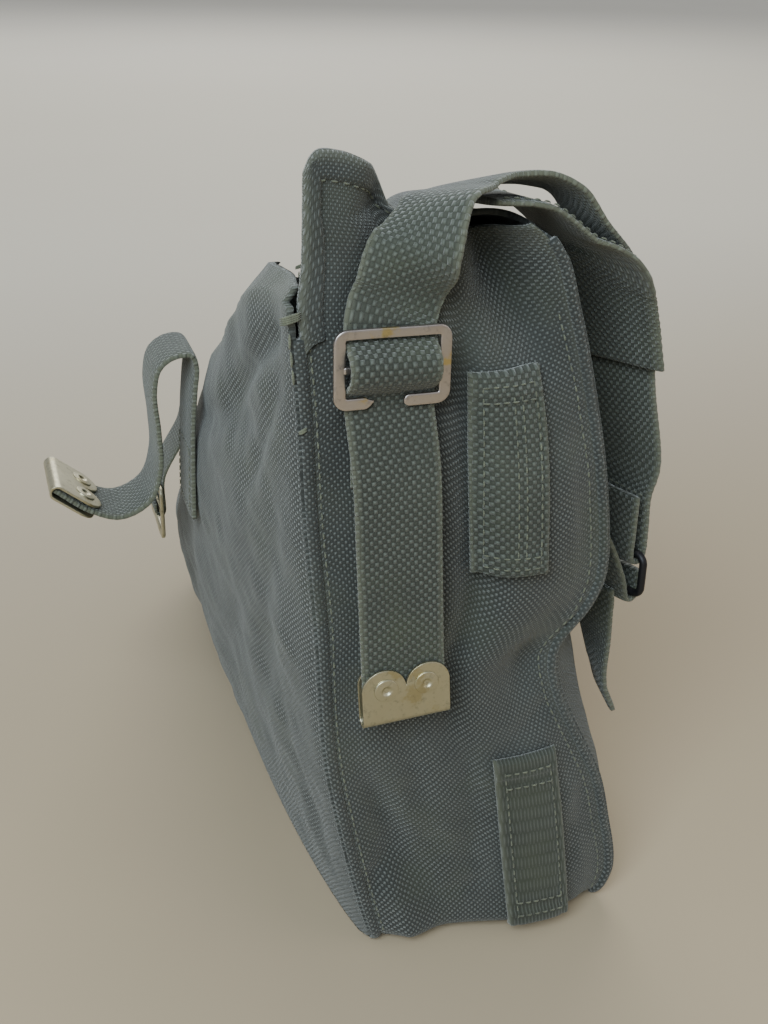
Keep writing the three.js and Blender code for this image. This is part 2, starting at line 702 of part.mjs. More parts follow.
function ringGeometry(width, height, wire) {
  const [w, h] = [(width - wire) / 2, (height - wire) / 2];
  const corner = wire * 1.2;
  const turns = [[w, h, 0], [-w, h, 1], [-w, -h, 2], [w, -h, 3]];
  const points = [];
  for (const [x, y, quarter] of turns) {
    const cx = x - Math.sign(x) * corner;
    const cy = y - Math.sign(y) * corner;
    for (const share of [0, 0.5, 1]) {
      const angle = (quarter + share) * (Math.PI / 2);
      points.push(new THREE.Vector3(cx + corner * Math.cos(angle), cy + corner * Math.sin(angle), 0));
    }
  }
  const rows = points.length;
  const sides = 8;
  const flat = [];
  points.forEach((point, i) => {
    const before = points[(i + rows - 1) % rows];
    const after = points[(i + 1) % rows];
    const along = after.clone().sub(before).normalize();
    const out = new THREE.Vector3(along.y, -along.x, 0);
    for (let k = 0; k < sides; k += 1) {
      const angle = (k / sides) * Math.PI * 2;
      const place = point.clone().addScaledVector(out, Math.cos(angle) * wire / 2);
      flat.push(place.x, place.y, Math.sin(angle) * wire / 2);
    }
  });
  const index = [];
  for (let i = 0; i < rows; i += 1) {
    for (let k = 0; k < sides; k += 1) {
      const a = i * sides + k;
      const b = i * sides + ((k + 1) % sides);
      const c = ((i + 1) % rows) * sides + ((k + 1) % sides);
      const d = ((i + 1) % rows) * sides + k;
      index.push(a, d, c, a, c, b);
    }
  }
  const geometry = new THREE.BufferGeometry();
  geometry.setAttribute('position', new THREE.Float32BufferAttribute(flat, 3));
  geometry.setIndex(index);
  geometry.computeVertexNormals();
  return geometry;
}

const ring = add('rear_ring', ringGeometry(ringWidth, ringHeight, ringWire), 'darkMetal');
place(ring, ringCentre, ringAcross, new THREE.Vector3(0, 0, 1));

// The chape on the back that carries the ring, and the loose tail that hangs beside it
const backSeat = (y, z, stand) => {
  const x = Math.max(...[-0.5, 0, 0.5].map((share) => backX(y + share * webWidth, z)));
  return new THREE.Vector3(x + canvas + stand, y, z);
};
const backward = direction(0.02, -1, 0);
const lieOff = seatGap + webbing / 2;
const chapeLie = seatGap + chapeWebbing / 2;
const backChapeY = -halfWidth + 28;
const underRing = (out, rise) => byRing(-out, rise - upperBar);
const backChapeRows = [
  ...along([0.81, 0.74, 0.62].map((rise) => backSeat(backChapeY, bagHeight * rise, lieOff)), backward),
  ...along([
    byRing(barReach + webbing + seatGap * 3.4, 2),
    ...wrap(underRing, barReach, 0, -1),
    underRing(barReach, 7),
  ], ringAcross),
];
add('rear_chape', ribbon(backChapeRows, webWidth * 0.94, webbing, 28), 'webbing');

// The loose tail sewn on the chape, which hangs down the back and kicks out at its end
const tailAcross = direction(-0.15, -0.99, 0);
const tailRows = [
  { at: byRing(barReach + webbing + seatGap * 4.5, -looseTail * 0.1), across: ringAcross },
  { at: byRing(barReach + webbing + seatGap * 3, -looseTail * 0.24), across: ringAcross },
  { at: byRing(barReach + seatGap, -looseTail * 0.48), across: direction(0.1, -0.99, 0) },
  { at: byRing(seatGap, -looseTail * 0.76), across: tailAcross },
  { at: byRing(-barReach - webbing, -looseTail), across: tailAcross },
];
add('rear_tail', ribbon(tailRows, webWidth * 0.75, webbing, 16), 'webbing');

// The closing strap at the front: sewn by its lower end, up, over in a loop and out to its tip
const frontSeat = (y, z, stand) => {
  const over = [-0.5, 0, 0.5].map((share) => y + share * webWidth);
  const x = Math.min(...over.map((place) => frontX(place, unsink(place, z))));
  return new THREE.Vector3(x - canvas - stand, y, z);
};
const closingY = -0.114 * bagWidth;
const outwardY = new THREE.Vector3(0, -1, 0);
const loopAt = (x, z) => new THREE.Vector3(x * bagDepth, closingY, z * bagHeight);
const closingRows = [
  { at: loopAt(-1.552, 0.597), across: outwardY },
  { at: loopAt(-1.412, 0.556), across: outwardY },
  { at: loopAt(-1.288, 0.54), across: outwardY },
  { at: loopAt(-1.165, 0.562), across: outwardY },
  { at: loopAt(-1.115, 0.611), across: outwardY },
  { at: loopAt(-1.113, 0.67), across: outwardY },
  { at: loopAt(-1.122, 0.735), across: outwardY },
  { at: loopAt(-1.096, 0.772), across: outwardY },
  { at: loopAt(-1.035, 0.788), across: outwardY },
  { at: loopAt(-0.966, 0.788), across: outwardY },
  { at: loopAt(-0.948, 0.77), across: outwardY },
  { at: loopAt(-0.958, 0.732), across: outwardY },
  { at: frontSeat(closingY, bagHeight * 0.68, lieOff + 0.6), across: outwardY },
  { at: frontSeat(closingY, bagHeight * 0.607, lieOff), across: outwardY },
  { at: frontSeat(closingY, bagHeight * 0.524, lieOff), across: outwardY },
];
add('closing_strap', ribbon(closingRows, webWidth, webbing, 36), 'webbing');
addTip('closing_tip', closingRows[0].at, closingRows[1].at, outwardY, 1);

// The front buckle on its own chape, hanging beside the closing strap
const frontChapeY = 0.08 * bagWidth;
const frontBuckleAt = new THREE.Vector3(-1.04 * bagDepth, frontChapeY, 0.43 * bagHeight);
const byFrontBuckle = (out, rise) => frontBuckleAt.clone().add(new THREE.Vector3(-out, 0, rise));
const frontChapePoints = [
  frontSeat(frontChapeY, bagHeight * 0.62, chapeLie - seatGap),
  frontSeat(frontChapeY, bagHeight * 0.59, chapeLie - seatGap),
  frontSeat(frontChapeY, bagHeight * 0.565, chapeLie - seatGap),
  byFrontBuckle(-chapePass - seatGap, buckleHeight / 2 + middleBar),
  byFrontBuckle(-chapePass, middleBar),
  ...wrap(byFrontBuckle, chapePass, middleBar / 2, -1),
  byFrontBuckle(chapePass, middleBar),
];
const frontChape = ribbon(along(frontChapePoints, outwardY), chapeWidth, chapeWebbing, 30);
add('front_chape', frontChape, 'webbing');
const frontBuckle = add('front_buckle', buckleGeometry(buckleWidth, buckleHeight, false), 'brass');
place(frontBuckle, frontBuckleAt, outwardY, new THREE.Vector3(0, 0, 1));

export default haversack;
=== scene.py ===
"""The finished canvas haversack: cloth, webbing, stitches, brass, and the light it stands in.

Lengths are worked in millimetres in the part's own frame and go into the meshes in metres.
X runs from the front (-) to the back (+), Y from the near side (-) to the far side (+), Z is up.
"""

import logging
import math
from dataclasses import dataclass, field
from enum import Enum
from typing import Callable, Dict, List, Optional, Sequence, Tuple, Union

import bpy
import numpy as np
from mathutils import Matrix, Vector


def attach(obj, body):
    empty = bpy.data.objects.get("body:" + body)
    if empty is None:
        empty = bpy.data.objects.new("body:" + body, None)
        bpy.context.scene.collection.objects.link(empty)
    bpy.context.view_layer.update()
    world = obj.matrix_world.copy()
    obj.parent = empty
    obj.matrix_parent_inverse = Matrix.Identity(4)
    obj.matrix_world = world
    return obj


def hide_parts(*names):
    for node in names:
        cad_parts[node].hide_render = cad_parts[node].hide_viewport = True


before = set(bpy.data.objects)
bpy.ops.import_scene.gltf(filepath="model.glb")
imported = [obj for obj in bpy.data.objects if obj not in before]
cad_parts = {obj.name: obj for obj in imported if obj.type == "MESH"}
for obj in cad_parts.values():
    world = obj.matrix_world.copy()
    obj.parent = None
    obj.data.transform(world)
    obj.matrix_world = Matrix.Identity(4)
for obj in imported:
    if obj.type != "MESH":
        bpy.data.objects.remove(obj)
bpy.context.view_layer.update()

METRE = 0.001
Array = np.ndarray
Socket = bpy.types.NodeSocket
log = logging.getLogger("haversack")


class Side(Enum):
    """The two narrow sides of the bag."""

    NEAR = -1.0
    FAR = 1.0


# Shared shape functions


def smoothstep(x: Array, low: float, high: float) -> Array:
    """Eases from 0 at low to 1 at high as 3t^2 - 2t^3."""
    t = np.clip((np.asarray(x, float) - low) / (high - low), 0.0, 1.0)
    return t * t * (3.0 - 2.0 * t)


def hermite(keys: Sequence[float], values: Sequence[float], place: Array) -> Array:
    """A smooth curve through table values, cubic between keys with slopes by differences.

    Args:
        keys: Rising places of the values.
        values: One value at each key.
        place: Where the curve is read, clipped to the table.

    Returns:
        The curve's values at those places.
    """
    k = np.asarray(keys, float)
    v = np.asarray(values, float)
    last = len(k) - 1
    index = np.arange(last + 1)
    before = np.maximum(index - 1, 0)
    after = np.minimum(index + 1, last)
    slope = (v[after] - v[before]) / (k[after] - k[before])
    x = np.clip(place, k[0], k[-1])
    i = np.clip(np.searchsorted(k, x, side="left") - 1, 0, last - 1)
    span = k[i + 1] - k[i]
    s = (x - k[i]) / span
    rise = s * s * (3.0 - 2.0 * s)
    early = s * (1.0 - s) ** 2 * span * slope[i]
    late = s * s * (1.0 - s) * span * slope[i + 1]
    return v[i] * (1.0 - rise) + v[i + 1] * rise + early - late


def unit(v: Array) -> Array:
    """Vectors divided by their length."""
    return v / np.maximum(np.linalg.norm(v, axis=-1, keepdims=True), 1e-9)


def direction(x: float, y: float, z: float) -> Array:
    """One unit vector."""
    return unit(np.array([x, y, z], float))


def arc_lengths(points: Array) -> Array:
    """The running length along a line of points."""
    steps = np.linalg.norm(np.diff(points, axis=0), axis=1)
    return np.concatenate([[0.0], np.cumsum(steps)])


def resample(points: Array, places: Array) -> Array:
    """Points of a line at given running lengths, straight between its own points."""
    run = arc_lengths(points)
    return np.stack([np.interp(places, run, points[:, a]) for a in range(3)], axis=1)


def soft_marks(u: Array, v: Array, rows: Sequence[Tuple[float, ...]]) -> Array:
    """A sum of long soft hollows on a plane.

    Each row is (u, v, turn in degrees, half length, half breadth, depth). Its hollow is
    depth * exp(-(a/length)^4 - (b/breadth)^2), with a along the turned axis and b across it.

    Args:
        u: First coordinate of the places.
        v: Second coordinate of the places.
        rows: The table of hollows.

    Returns:
        How deep the surface is at each place.
    """
    total = np.zeros(np.broadcast(u, v).shape)
    for cu, cv, turn, length, breadth, depth in rows:
        c, s = math.cos(math.radians(turn)), math.sin(math.radians(turn))
        a = (u - cu) * c + (v - cv) * s
        b = -(u - cu) * s + (v - cv) * c
        total = total + depth * np.exp(-((a / length) ** 4) - (b / breadth) ** 2)
    return total


def ripple(u: Array, v: Array, seed: int, size: float, count: int = 24) -> Array:
    """Gentle unevenness: a sum of sines with turned directions and lengths near size.

    Args:
        u: First coordinate in millimetres.
        v: Second coordinate in millimetres.
        seed: Seed of the directions, so that each run is the same.
        size: Mean wavelength in millimetres.
        count: How many sines are summed.

    Returns:
        Heights with a spread of about 1.
    """
    rng = np.random.default_rng(seed)
    total = np.zeros(np.broadcast(u, v).shape)
    for turn, length, phase in zip(
        rng.uniform(0, math.pi, count),
        size * rng.uniform(0.6, 1.8, count),
        rng.uniform(0, 2 * math.pi, count),
    ):
        total = total + np.sin(2 * math.pi * (u * math.cos(turn) + v * math.sin(turn)) / length + phase)
    return total / math.sqrt(count / 2)


# Meshes


@dataclass
class Sheeting:
    """Vertices, quads and weave coordinates that are joined into one mesh."""

    points: List[Array] = field(default_factory=list)
    quads: List[Array] = field(default_factory=list)
    weave: List[Array] = field(default_factory=list)
    wear: List[Array] = field(default_factory=list)
    count: int = 0

    def add(self, points: Array, quads: Array, weave: Array, wear: Optional[Array] = None) -> None:
        """Adds one piece of surface.

        Args:
            points: Its vertices in millimetres, as rows.
            quads: Its faces, as rows of four vertex numbers of this piece.
            weave: Weave coordinates of each vertex in millimetres.
            wear: How worn each vertex is, 0 to 1.
        """
        self.points.append(points.reshape(-1, 3))
        self.quads.append(quads + self.count)
        self.weave.append(weave.reshape(-1, 2))
        total = points.reshape(-1, 3).shape[0]
        self.wear.append(np.zeros(total) if wear is None else np.asarray(wear, float).reshape(-1))
        self.count += total

    def build(self, name: str, smooth: bool = True) -> bpy.types.Object:
        """Makes the mesh object, with its faces turned outwards.

        Args:
            name: The piece's name.
            smooth: Whether its faces are smooth shaded.

        Returns:
            The new object at the origin.
        """
        points = np.concatenate(self.points)
        quads = np.concatenate(self.quads)
        weave = np.concatenate(self.weave)
        wear = np.concatenate(self.wear)
        p = points[quads]
        volume = np.einsum("ij,ij->i", p[:, 0], np.cross(p[:, 1], p[:, 2])).sum()
        volume += np.einsum("ij,ij->i", p[:, 0], np.cross(p[:, 2], p[:, 3])).sum()
        if volume < 0:
            quads = quads[:, ::-1]
        mesh = bpy.data.meshes.new(name)
        mesh.vertices.add(len(points))
        mesh.vertices.foreach_set("co", (points * METRE).astype(np.float32).ravel())
        mesh.loops.add(quads.size)
        mesh.loops.foreach_set("vertex_index", quads.astype(np.int32).ravel())
        mesh.polygons.add(len(quads))
        mesh.polygons.foreach_set("loop_start", np.arange(0, quads.size, 4, dtype=np.int32))
        mesh.polygons.foreach_set("use_smooth", np.full(len(quads), smooth))
        mesh.update(calc_edges=True)
        layer = mesh.uv_layers.new(name="weave")
        layer.data.foreach_set("uv", weave[quads.ravel()].astype(np.float32).ravel())
        worn = mesh.attributes.new(name="wear", type="FLOAT", domain="POINT")
        worn.data.foreach_set("value", wear.astype(np.float32))
        mesh.validate()
        piece = bpy.data.objects.new(name, mesh)
        bpy.context.scene.collection.objects.link(piece)
        return piece


def grid_quads(rows: int, columns: int, loop: bool = False) -> Array:
    """Quads of a grid of vertices, whose columns close on themselves when loop is set."""
    wide = columns if loop else columns - 1
    j, i = np.meshgrid(np.arange(rows - 1), np.arange(wide), indexing="ij")
    a = j * columns + i
    b = j * columns + (i + 1) % columns
    return np.stack([a, b, b + columns, a + columns], axis=-1).reshape(-1, 4)


def add_wall(
    sheeting: Sheeting, inner: Array, outer: Array, weave: Array, wear: Optional[Array] = None
) -> None:
    """Adds a closed cloth wall: an inner grid, an outer grid and a rim of quads round them.

    Args:
        sheeting: Where it goes.
        inner: The inner face's grid.
        outer: The outer face's grid of the same shape.
        weave: Weave coordinates of the grid in millimetres.
        wear: How worn the grid is.
    """
    rows, columns = inner.shape[:2]
    face = grid_quads(rows, columns)
    layer = rows * columns
    top = np.arange(columns)
    bottom = (rows - 1) * columns + top
    left = np.arange(rows) * columns
    right = left + columns - 1
    rim = []
    for edge, turned in ((top, True), (bottom, False), (left, False), (right, True)):
        a, b = edge[:-1], edge[1:]
        quad = np.stack([a, b, b + layer, a + layer], axis=1)
        rim.append(quad[:, ::-1] if turned else quad)
    quads = np.concatenate([face, face[:, ::-1] + layer, *rim])
    worn = np.zeros((rows, columns)) if wear is None else wear
    sheeting.add(
        np.concatenate([inner.reshape(-1, 3), outer.reshape(-1, 3)]),
        quads,
        np.concatenate([weave.reshape(-1, 2), weave.reshape(-1, 2)]),
        np.concatenate([worn.ravel(), worn.ravel()]),
    )


def add_sweep(
    sheeting: Sheeting,
    centre: Array,
    wide: Array,
    normal: Array,
    profile: Array,
    worn_edge: bool = False,
    closed: bool = False,
) -> None:
    """Adds a profile carried along a path: centre + wide * x + normal * y for each profile point.

    Args:
        sheeting: Where it goes.
        centre: The path's points.
        wide: Unit directions of the profile's x at each point.
        normal: Unit directions of the profile's y at each point.
        profile: The closed profile's points, as rows of x and y.
        worn_edge: Whether the strip is worn at the profile's ends in x.
        closed: Whether the path closes on itself, so that it has no end caps.
    """
    rows = len(centre)
    ring = (
        centre[:, None, :]
        + wide[:, None, :] * profile[None, :, 0, None]
        + normal[:, None, :] * profile[None, :, 1, None]
    )
    run = arc_lengths(centre)
    weave = np.stack(np.broadcast_arrays(profile[None, :, 0], run[:, None]), axis=-1)
    reach = np.abs(profile[:, 0]).max()
    edge = np.clip(np.abs(profile[:, 0]) / reach * 6.0 - 5.0, 0, 1) if worn_edge else 0 * profile[:, 0]
    wear = np.broadcast_to(edge[None, :], (rows, len(profile)))
    columns = len(profile)
    quads = grid_quads(rows, columns, loop=True)
    if closed:
        a = (rows - 1) * columns + np.arange(columns)
        b = (rows - 1) * columns + (np.arange(columns) + 1) % columns
        quads = np.concatenate([quads, np.stack([a, b, b % columns, a % columns], axis=1)])
        sheeting.add(ring, quads, weave, wear)
        return
    half = columns // 2
    caps = []
    for start, turned in ((0, True), ((rows - 1) * columns, False)):
        k = np.arange(half - 1)
        quad = np.stack([k, k + 1, columns - 2 - k, columns - 1 - k], axis=1) + start
        caps.append(quad[:, ::-1] if turned else quad)
    sheeting.add(ring, np.concatenate([quads, *caps]), weave, wear)


def webbing_profile(width: float, thickness: float, points: int = 36, square: float = 0.42) -> Array:
    """A flat strip's section: a superellipse, |cos|^square wide and |sin|^square thick."""
    angle = (np.arange(points) + 0.5) / points * 2 * math.pi
    c, s = np.cos(angle), np.sin(angle)
    x = np.sign(c) * np.abs(c) ** square * width / 2
    y = np.sign(s) * np.abs(s) ** (square * 1.25) * thickness / 2
    return np.stack([x, y], axis=1)


def round_profile(width: float, thickness: float, points: int = 12) -> Array:
    """An ellipse's points."""
    angle = (np.arange(points) + 0.5) / points * 2 * math.pi
    return np.stack([np.cos(angle) * width / 2, np.sin(angle) * thickness / 2], axis=1)


def spline(points: Array, t: Array) -> Array:
    """A centripetal Catmull-Rom line through points, read at shares t of its spans.

    Each span is the cubic whose end slopes are the non-uniform differences of the points
    before and after it, with spacings that are the square root of the distances.
    """
    last = len(points) - 1
    place = np.clip(t, 0.0, 1.0) * last
    i = np.clip(np.floor(place).astype(int), 0, last - 1)
    s = (place - i)[:, None]
    padded = np.concatenate([[2 * points[0] - points[1]], points, [2 * points[-1] - points[-2]]])
    p0, p1, p2, p3 = (padded[i + k] for k in range(4))
    gap = [np.linalg.norm(b - a, axis=1) ** 0.5 for a, b in ((p0, p1), (p1, p2), (p2, p3))]
    middle = np.where(gap[1] < 1e-4, 1.0, gap[1])[:, None]
    first = np.where(gap[0] < 1e-4, middle[:, 0], gap[0])[:, None]
    third = np.where(gap[2] < 1e-4, middle[:, 0], gap[2])[:, None]
    slope1 = (p1 - p0) / first - (p2 - p0) / (first + middle) + (p2 - p1) / middle
    slope2 = (p2 - p1) / middle - (p3 - p1) / (middle + third) + (p3 - p2) / third
    slope1, slope2 = slope1 * middle, slope2 * middle
    c2 = -3 * p1 + 3 * p2 - 2 * slope1 - slope2
    c3 = 2 * p1 - 2 * p2 + slope1 + slope2
    return p1 + slope1 * s + c2 * s**2 + c3 * s**3


@dataclass
class Strip:
    """A strip of webbing along rows of a centre line, each with the direction of its width."""

    places: Array
    across: Array
    width: float
    thickness: float

    def sample(self, spacing: float) -> Tuple[Array, Array, Array]:
        """The centre line at even spacing, with its width directions and its normals.

        Args:
            spacing: Distance between the samples in millimetres.

        Returns:
            Centres, unit width directions and unit normals.
        """
        t = np.linspace(0, 1, 1200)
        line = spline(self.places, t)
        run = arc_lengths(line)
        steps = max(int(round(run[-1] / spacing)), 4)
        share = np.interp(np.linspace(0, run[-1], steps + 1), run, t)
        centre = spline(self.places, share)
        along = unit(np.gradient(centre, axis=0))
        wide = spline(self.across, share)
        wide = unit(wide - along * np.sum(wide * along, axis=1, keepdims=True))
        return centre, wide, unit(np.cross(wide, along))

    def rows(self, share_across: float, start: float, end: float, lift: float) -> Tuple[Array, Array]:
        """A line along the strip's face between two running lengths, with its normals."""
        centre, wide, normal = self.sample(0.5)
        lengths = arc_lengths(centre)
        stop = lengths[-1] + end if end <= 0 else end
        keep = (lengths >= start) & (lengths <= stop)
        line = centre + wide * share_across * self.width + normal * lift
        return line[keep], normal[keep]

    def crossing(self, run: float, low: float, high: float, lift: float) -> Tuple[Array, Array]:
        """A line across the strip's face at a running length, with its normals."""
        centre, wide, normal = self.sample(0.5)
        lengths = arc_lengths(centre)
        place = lengths[-1] + run if run < 0 else run
        i = int(np.clip(np.searchsorted(lengths, place), 0, len(lengths) - 1))
        shares = np.linspace(low, high, 30)[:, None]
        line = centre[i] + wide[i] * shares * self.width + normal[i] * lift
        return line, np.broadcast_to(normal[i], line.shape)


def strip_of(rows: Sequence[Tuple[Array, Array]], width: float, thickness: float) -> Strip:
    """A strip from rows of (place, across)."""
    return Strip(np.array([r[0] for r in rows]), np.array([r[1] for r in rows]), width, thickness)


@dataclass
class StitchRow:
    """A row of thread stitches lying on cloth."""

    line: Array
    normals: Array
    pitch: float = 3.0
    length: float = 2.3
    thread: float = 0.75
    lift: float = 0.1


def stitch_mesh(rows: Sequence[StitchRow], name: str) -> bpy.types.Object:
    """Small spindles along each row, all in one mesh.

    A stitch is a spindle of seven rings and six sides: its radius is thread/2 * sin(pi t)^0.5,
    and its middle line dips into the cloth at both ends as -(2t - 1)^4.

    Args:
        rows: The rows of stitches.
        name: The piece's name.

    Returns:
        The mesh object.
    """
    rings, sides = 7, 6
    t = np.linspace(0.03, 0.97, rings)
    angle = np.arange(sides) / sides * 2 * math.pi
    sheeting = Sheeting()
    quads = grid_quads(rings, sides, loop=True)
    k = np.arange(sides // 2 - 1)
    cap = np.stack([k, k + 1, sides - 2 - k, sides - 1 - k], axis=1)
    one = np.concatenate([quads, cap[:, ::-1], cap + (rings - 1) * sides])
    for row in rows:
        run = arc_lengths(row.line)
        count = max(int(run[-1] / row.pitch), 1)
        places = (np.arange(count) + 0.5) * run[-1] / count
        centre = resample(row.line, places)
        ahead = resample(row.line, np.minimum(places + row.length / 2, run[-1]))
        behind = resample(row.line, np.maximum(places - row.length / 2, 0))
        along = unit(ahead - behind)
        up = np.stack([np.interp(places, run, row.normals[:, a]) for a in range(3)], axis=1)
        up = unit(up - along * np.sum(up * along, axis=1, keepdims=True))
        over = np.cross(along, up)
        radius = row.thread / 2 * np.sin(math.pi * t) ** 0.5
        dip = row.lift - row.thread * 0.7 * (2 * t - 1) ** 4
        reach = (t - 0.5) * row.length
        points = (
            centre[:, None, None, :]
            + along[:, None, None, :] * reach[None, :, None, None]
            + up[:, None, None, :] * (dip[None, :, None] + radius[None, :, None] * np.sin(angle))[..., None]
            + over[:, None, None, :] * (radius[None, :, None] * np.cos(angle))[..., None]
        )
        each = rings * sides
        offsets = np.arange(count)[:, None, None] * each
        faces = (one[None] + offsets).reshape(-1, 4)
        twist = np.stack(
            np.broadcast_arrays(angle[None, None, :] / math.pi, reach[None, :, None] + 0 * offsets), axis=-1
        )
        sheeting.add(points.reshape(-1, 3), faces, twist.reshape(-1, 2))
    return sheeting.build(name)


# Finishes


@dataclass
class Bench:
    """A material's node tree, with short calls for the nodes that the finishes use."""

    name: str

    def __post_init__(self) -> None:
        """Makes the material and finds its shader."""
        self.material = bpy.data.materials.new(self.name)
        self.material.use_nodes = True
        self.tree = self.material.node_tree
        self.shader = self.tree.nodes["Principled BSDF"]

    def link(self, value: object, socket: Socket) -> None:
        """Links a socket, or sets a plain value."""
        if isinstance(value, bpy.types.NodeSocket):
            self.tree.links.new(value, socket)
        else:
            socket.default_value = value

    def math(self, operation: str, a: object, b: object = 0.0, c: object = 0.0) -> Socket:
        """One Math node."""
        node = self.tree.nodes.new("ShaderNodeMath")
        node.operation = operation
        for value, socket in zip((a, b, c), node.inputs):
            self.link(value, socket)
        return node.outputs[0]

    def ease(
        self, value: Socket, low: float, high: float, to_low: float = 0.0, to_high: float = 1.0
    ) -> Socket:
        """A smooth step of a value from one range to another."""
        node = self.tree.nodes.new("ShaderNodeMapRange")
        node.interpolation_type = "SMOOTHSTEP"
        for number, key in ((low, 1), (high, 2), (to_low, 3), (to_high, 4)):
            node.inputs[key].default_value = number
        self.link(value, node.inputs[0])
        return node.outputs[0]

    def mix(self, share: object, a: object, b: object, blend: str = "MIX") -> Socket:
        """A mix of two colours."""
        node = self.tree.nodes.new("ShaderNodeMix")
        node.data_type = "RGBA"
        node.blend_type = blend
        node.clamp_factor = True
        for value, key in ((share, 0), (a, 6), (b, 7)):
            self.link(value, node.inputs[key])
        return node.outputs[2]

    def noise(self, vector: Socket, scale: float, detail: float = 2.0, rough: float = 0.5) -> Socket:
        """The grey value of a noise."""
        node = self.tree.nodes.new("ShaderNodeTexNoise")
        node.inputs["Scale"].default_value = scale
        node.inputs["Detail"].default_value = detail
        node.inputs["Roughness"].default_value = rough
        self.link(vector, node.inputs["Vector"])
        return node.outputs[0]

    def place(self) -> Socket:
        """Object coordinates in metres."""
        return self.tree.nodes.new("ShaderNodeTexCoord").outputs["Object"]

    def weave(self) -> Socket:
        """The weave coordinates, in millimetres."""
        node = self.tree.nodes.new("ShaderNodeUVMap")
        node.uv_map = "weave"
        return node.outputs[0]

    def wear(self) -> Socket:
        """The piece's wear, 0 to 1."""
        node = self.tree.nodes.new("ShaderNodeAttribute")
        node.attribute_name = "wear"
        return node.outputs["Fac"]

    def split(self, vector: Socket) -> Tuple[Socket, Socket]:
        """The first two parts of a vector."""
        node = self.tree.nodes.new("ShaderNodeSeparateXYZ")
        self.link(vector, node.inputs[0])
        return node.outputs[0], node.outputs[1]

    def bump(
        self, height: Socket, distance: float, strength: float = 1.0, under: Optional[Socket] = None
    ) -> Socket:
        """A bump of a height, over another bump where one is given."""
        node = self.tree.nodes.new("ShaderNodeBump")
        node.inputs["Strength"].default_value = strength
        node.inputs["Distance"].default_value = distance
        self.link(height, node.inputs["Height"])
        if under is not None:
            self.link(under, node.inputs["Normal"])
        return node.outputs[0]

    def finish(
        self, colour: object, rough: object, normal: Optional[Socket] = None, **fixed: object
    ) -> bpy.types.Material:
        """Sets the shader's sockets.

        Args:
            colour: Base colour or its socket.
            rough: Roughness or its socket.
            normal: The bump's normal.
            **fixed: Plain values by socket name, with _ for spaces.

        Returns:
            The material.
        """
        self.link(colour, self.shader.inputs["Base Color"])
        self.link(rough, self.shader.inputs["Roughness"])
        if normal is not None:
            self.link(normal, self.shader.inputs["Normal"])
        for key, value in fixed.items():
            self.shader.inputs[key.replace("_", " ")].default_value = value
        return self.material


@dataclass(frozen=True)
class WovenFinish:
    """Cotton cloth whose threads stand up as staggered beads.

    Beads lie where sin(pi u / across) * sin(pi v / along) is positive, which is every other
    cell of a checkerboard; the cross threads show, lower, in the cells between. The pits are painted
    darker as painted shade and the beads' tops lighter as a painted highlight.
    """

    name: str
    across: float
    along: float
    # first colour: painted shade in the weave's pits, also used for the random dark blotches; third colour:
    # painted highlight on the beads' tops
    hollow: Tuple[float, float, float, float]
    ground: Tuple[float, float, float, float]
    bead_highlight: Tuple[float, float, float, float]
    height: float
    sheen: float = 0.35
    swell: float = 0.75

    def material(self) -> bpy.types.Material:
        """The cloth's material: weave height, painted shade in the pits and painted highlight on the beads,
        faded patches and worn edges.
        """
        b = Bench(self.name)
        place = b.place()
        u, v = b.split(b.weave())
        wander = b.noise(b.weave(), 0.11, 2.0)
        shake = b.noise(b.weave(), 0.9, 1.0)
        u = b.math("ADD", u, b.math("MULTIPLY", b.math("SUBTRACT", wander, 0.5), self.across * 1.3))
        v = b.math("ADD", v, b.math("MULTIPLY", b.math("SUBTRACT", shake, 0.5), self.along * 0.35))
        wave_u = b.math("SINE", b.math("MULTIPLY", u, math.pi / self.across))
        wave_v = b.math("SINE", b.math("MULTIPLY", v, math.pi / self.along))
        cell = b.math("MULTIPLY", wave_u, wave_v)
        up = b.math("POWER", b.math("MAXIMUM", cell, 0.0), self.swell)
        down = b.math("MULTIPLY", b.math("MAXIMUM", b.math("MULTIPLY", cell, -1.0), 0.0), 0.2)
        uneven = b.math("ADD", 0.75, b.math("MULTIPLY", b.noise(b.weave(), 0.55, 2.0), 0.5))
        height = b.math("MULTIPLY", b.math("ADD", up, down), uneven)
        fuzz = b.noise(place, 2600.0, 3.0, 0.7)
        normal = b.bump(fuzz, 0.00012, 0.35, b.bump(height, self.height * METRE))
        fade = b.ease(b.noise(place, 16.0, 4.0, 0.6), 0.35, 0.7)
        blotch = b.ease(b.noise(place, 55.0, 4.0, 0.65), 0.4, 0.68)
        green = b.ease(b.noise(place, 30.0, 3.0, 0.6), 0.45, 0.7)
        # painted shade: the weave's pits are darkened by their height
        tint = b.mix(b.ease(height, 0.02, 0.42), self.hollow, self.ground)
        # painted highlight: the tops of the beads are painted lighter
        tint = b.mix(b.ease(up, 0.4, 1.0), tint, self.bead_highlight)
        tint = b.mix(b.math("MULTIPLY", fade, 0.32), tint, tuple(x * 1.5 for x in self.ground[:3]) + (1.0,))
        tint = b.mix(b.math("MULTIPLY", blotch, 0.28), tint, self.hollow)
        moss = (self.ground[0] * 1.02, self.ground[1] * 1.08, self.ground[2] * 0.7, 1.0)
        tint = b.mix(b.math("MULTIPLY", green, 0.3), tint, moss)
        tint = b.mix(b.math("MULTIPLY", b.wear(), 0.5), tint, (0.155, 0.165, 0.115, 1.0))
        rough = b.math("SUBTRACT", 0.86, b.math("MULTIPLY", up, 0.2))
        return b.finish(
            tint,
            rough,
            normal,
            Sheen_Weight=self.sheen,
            Sheen_Roughness=0.45,
            Sheen_Tint=(0.76, 0.8, 0.78, 1.0),
            Specular_IOR_Level=0.34,
        )


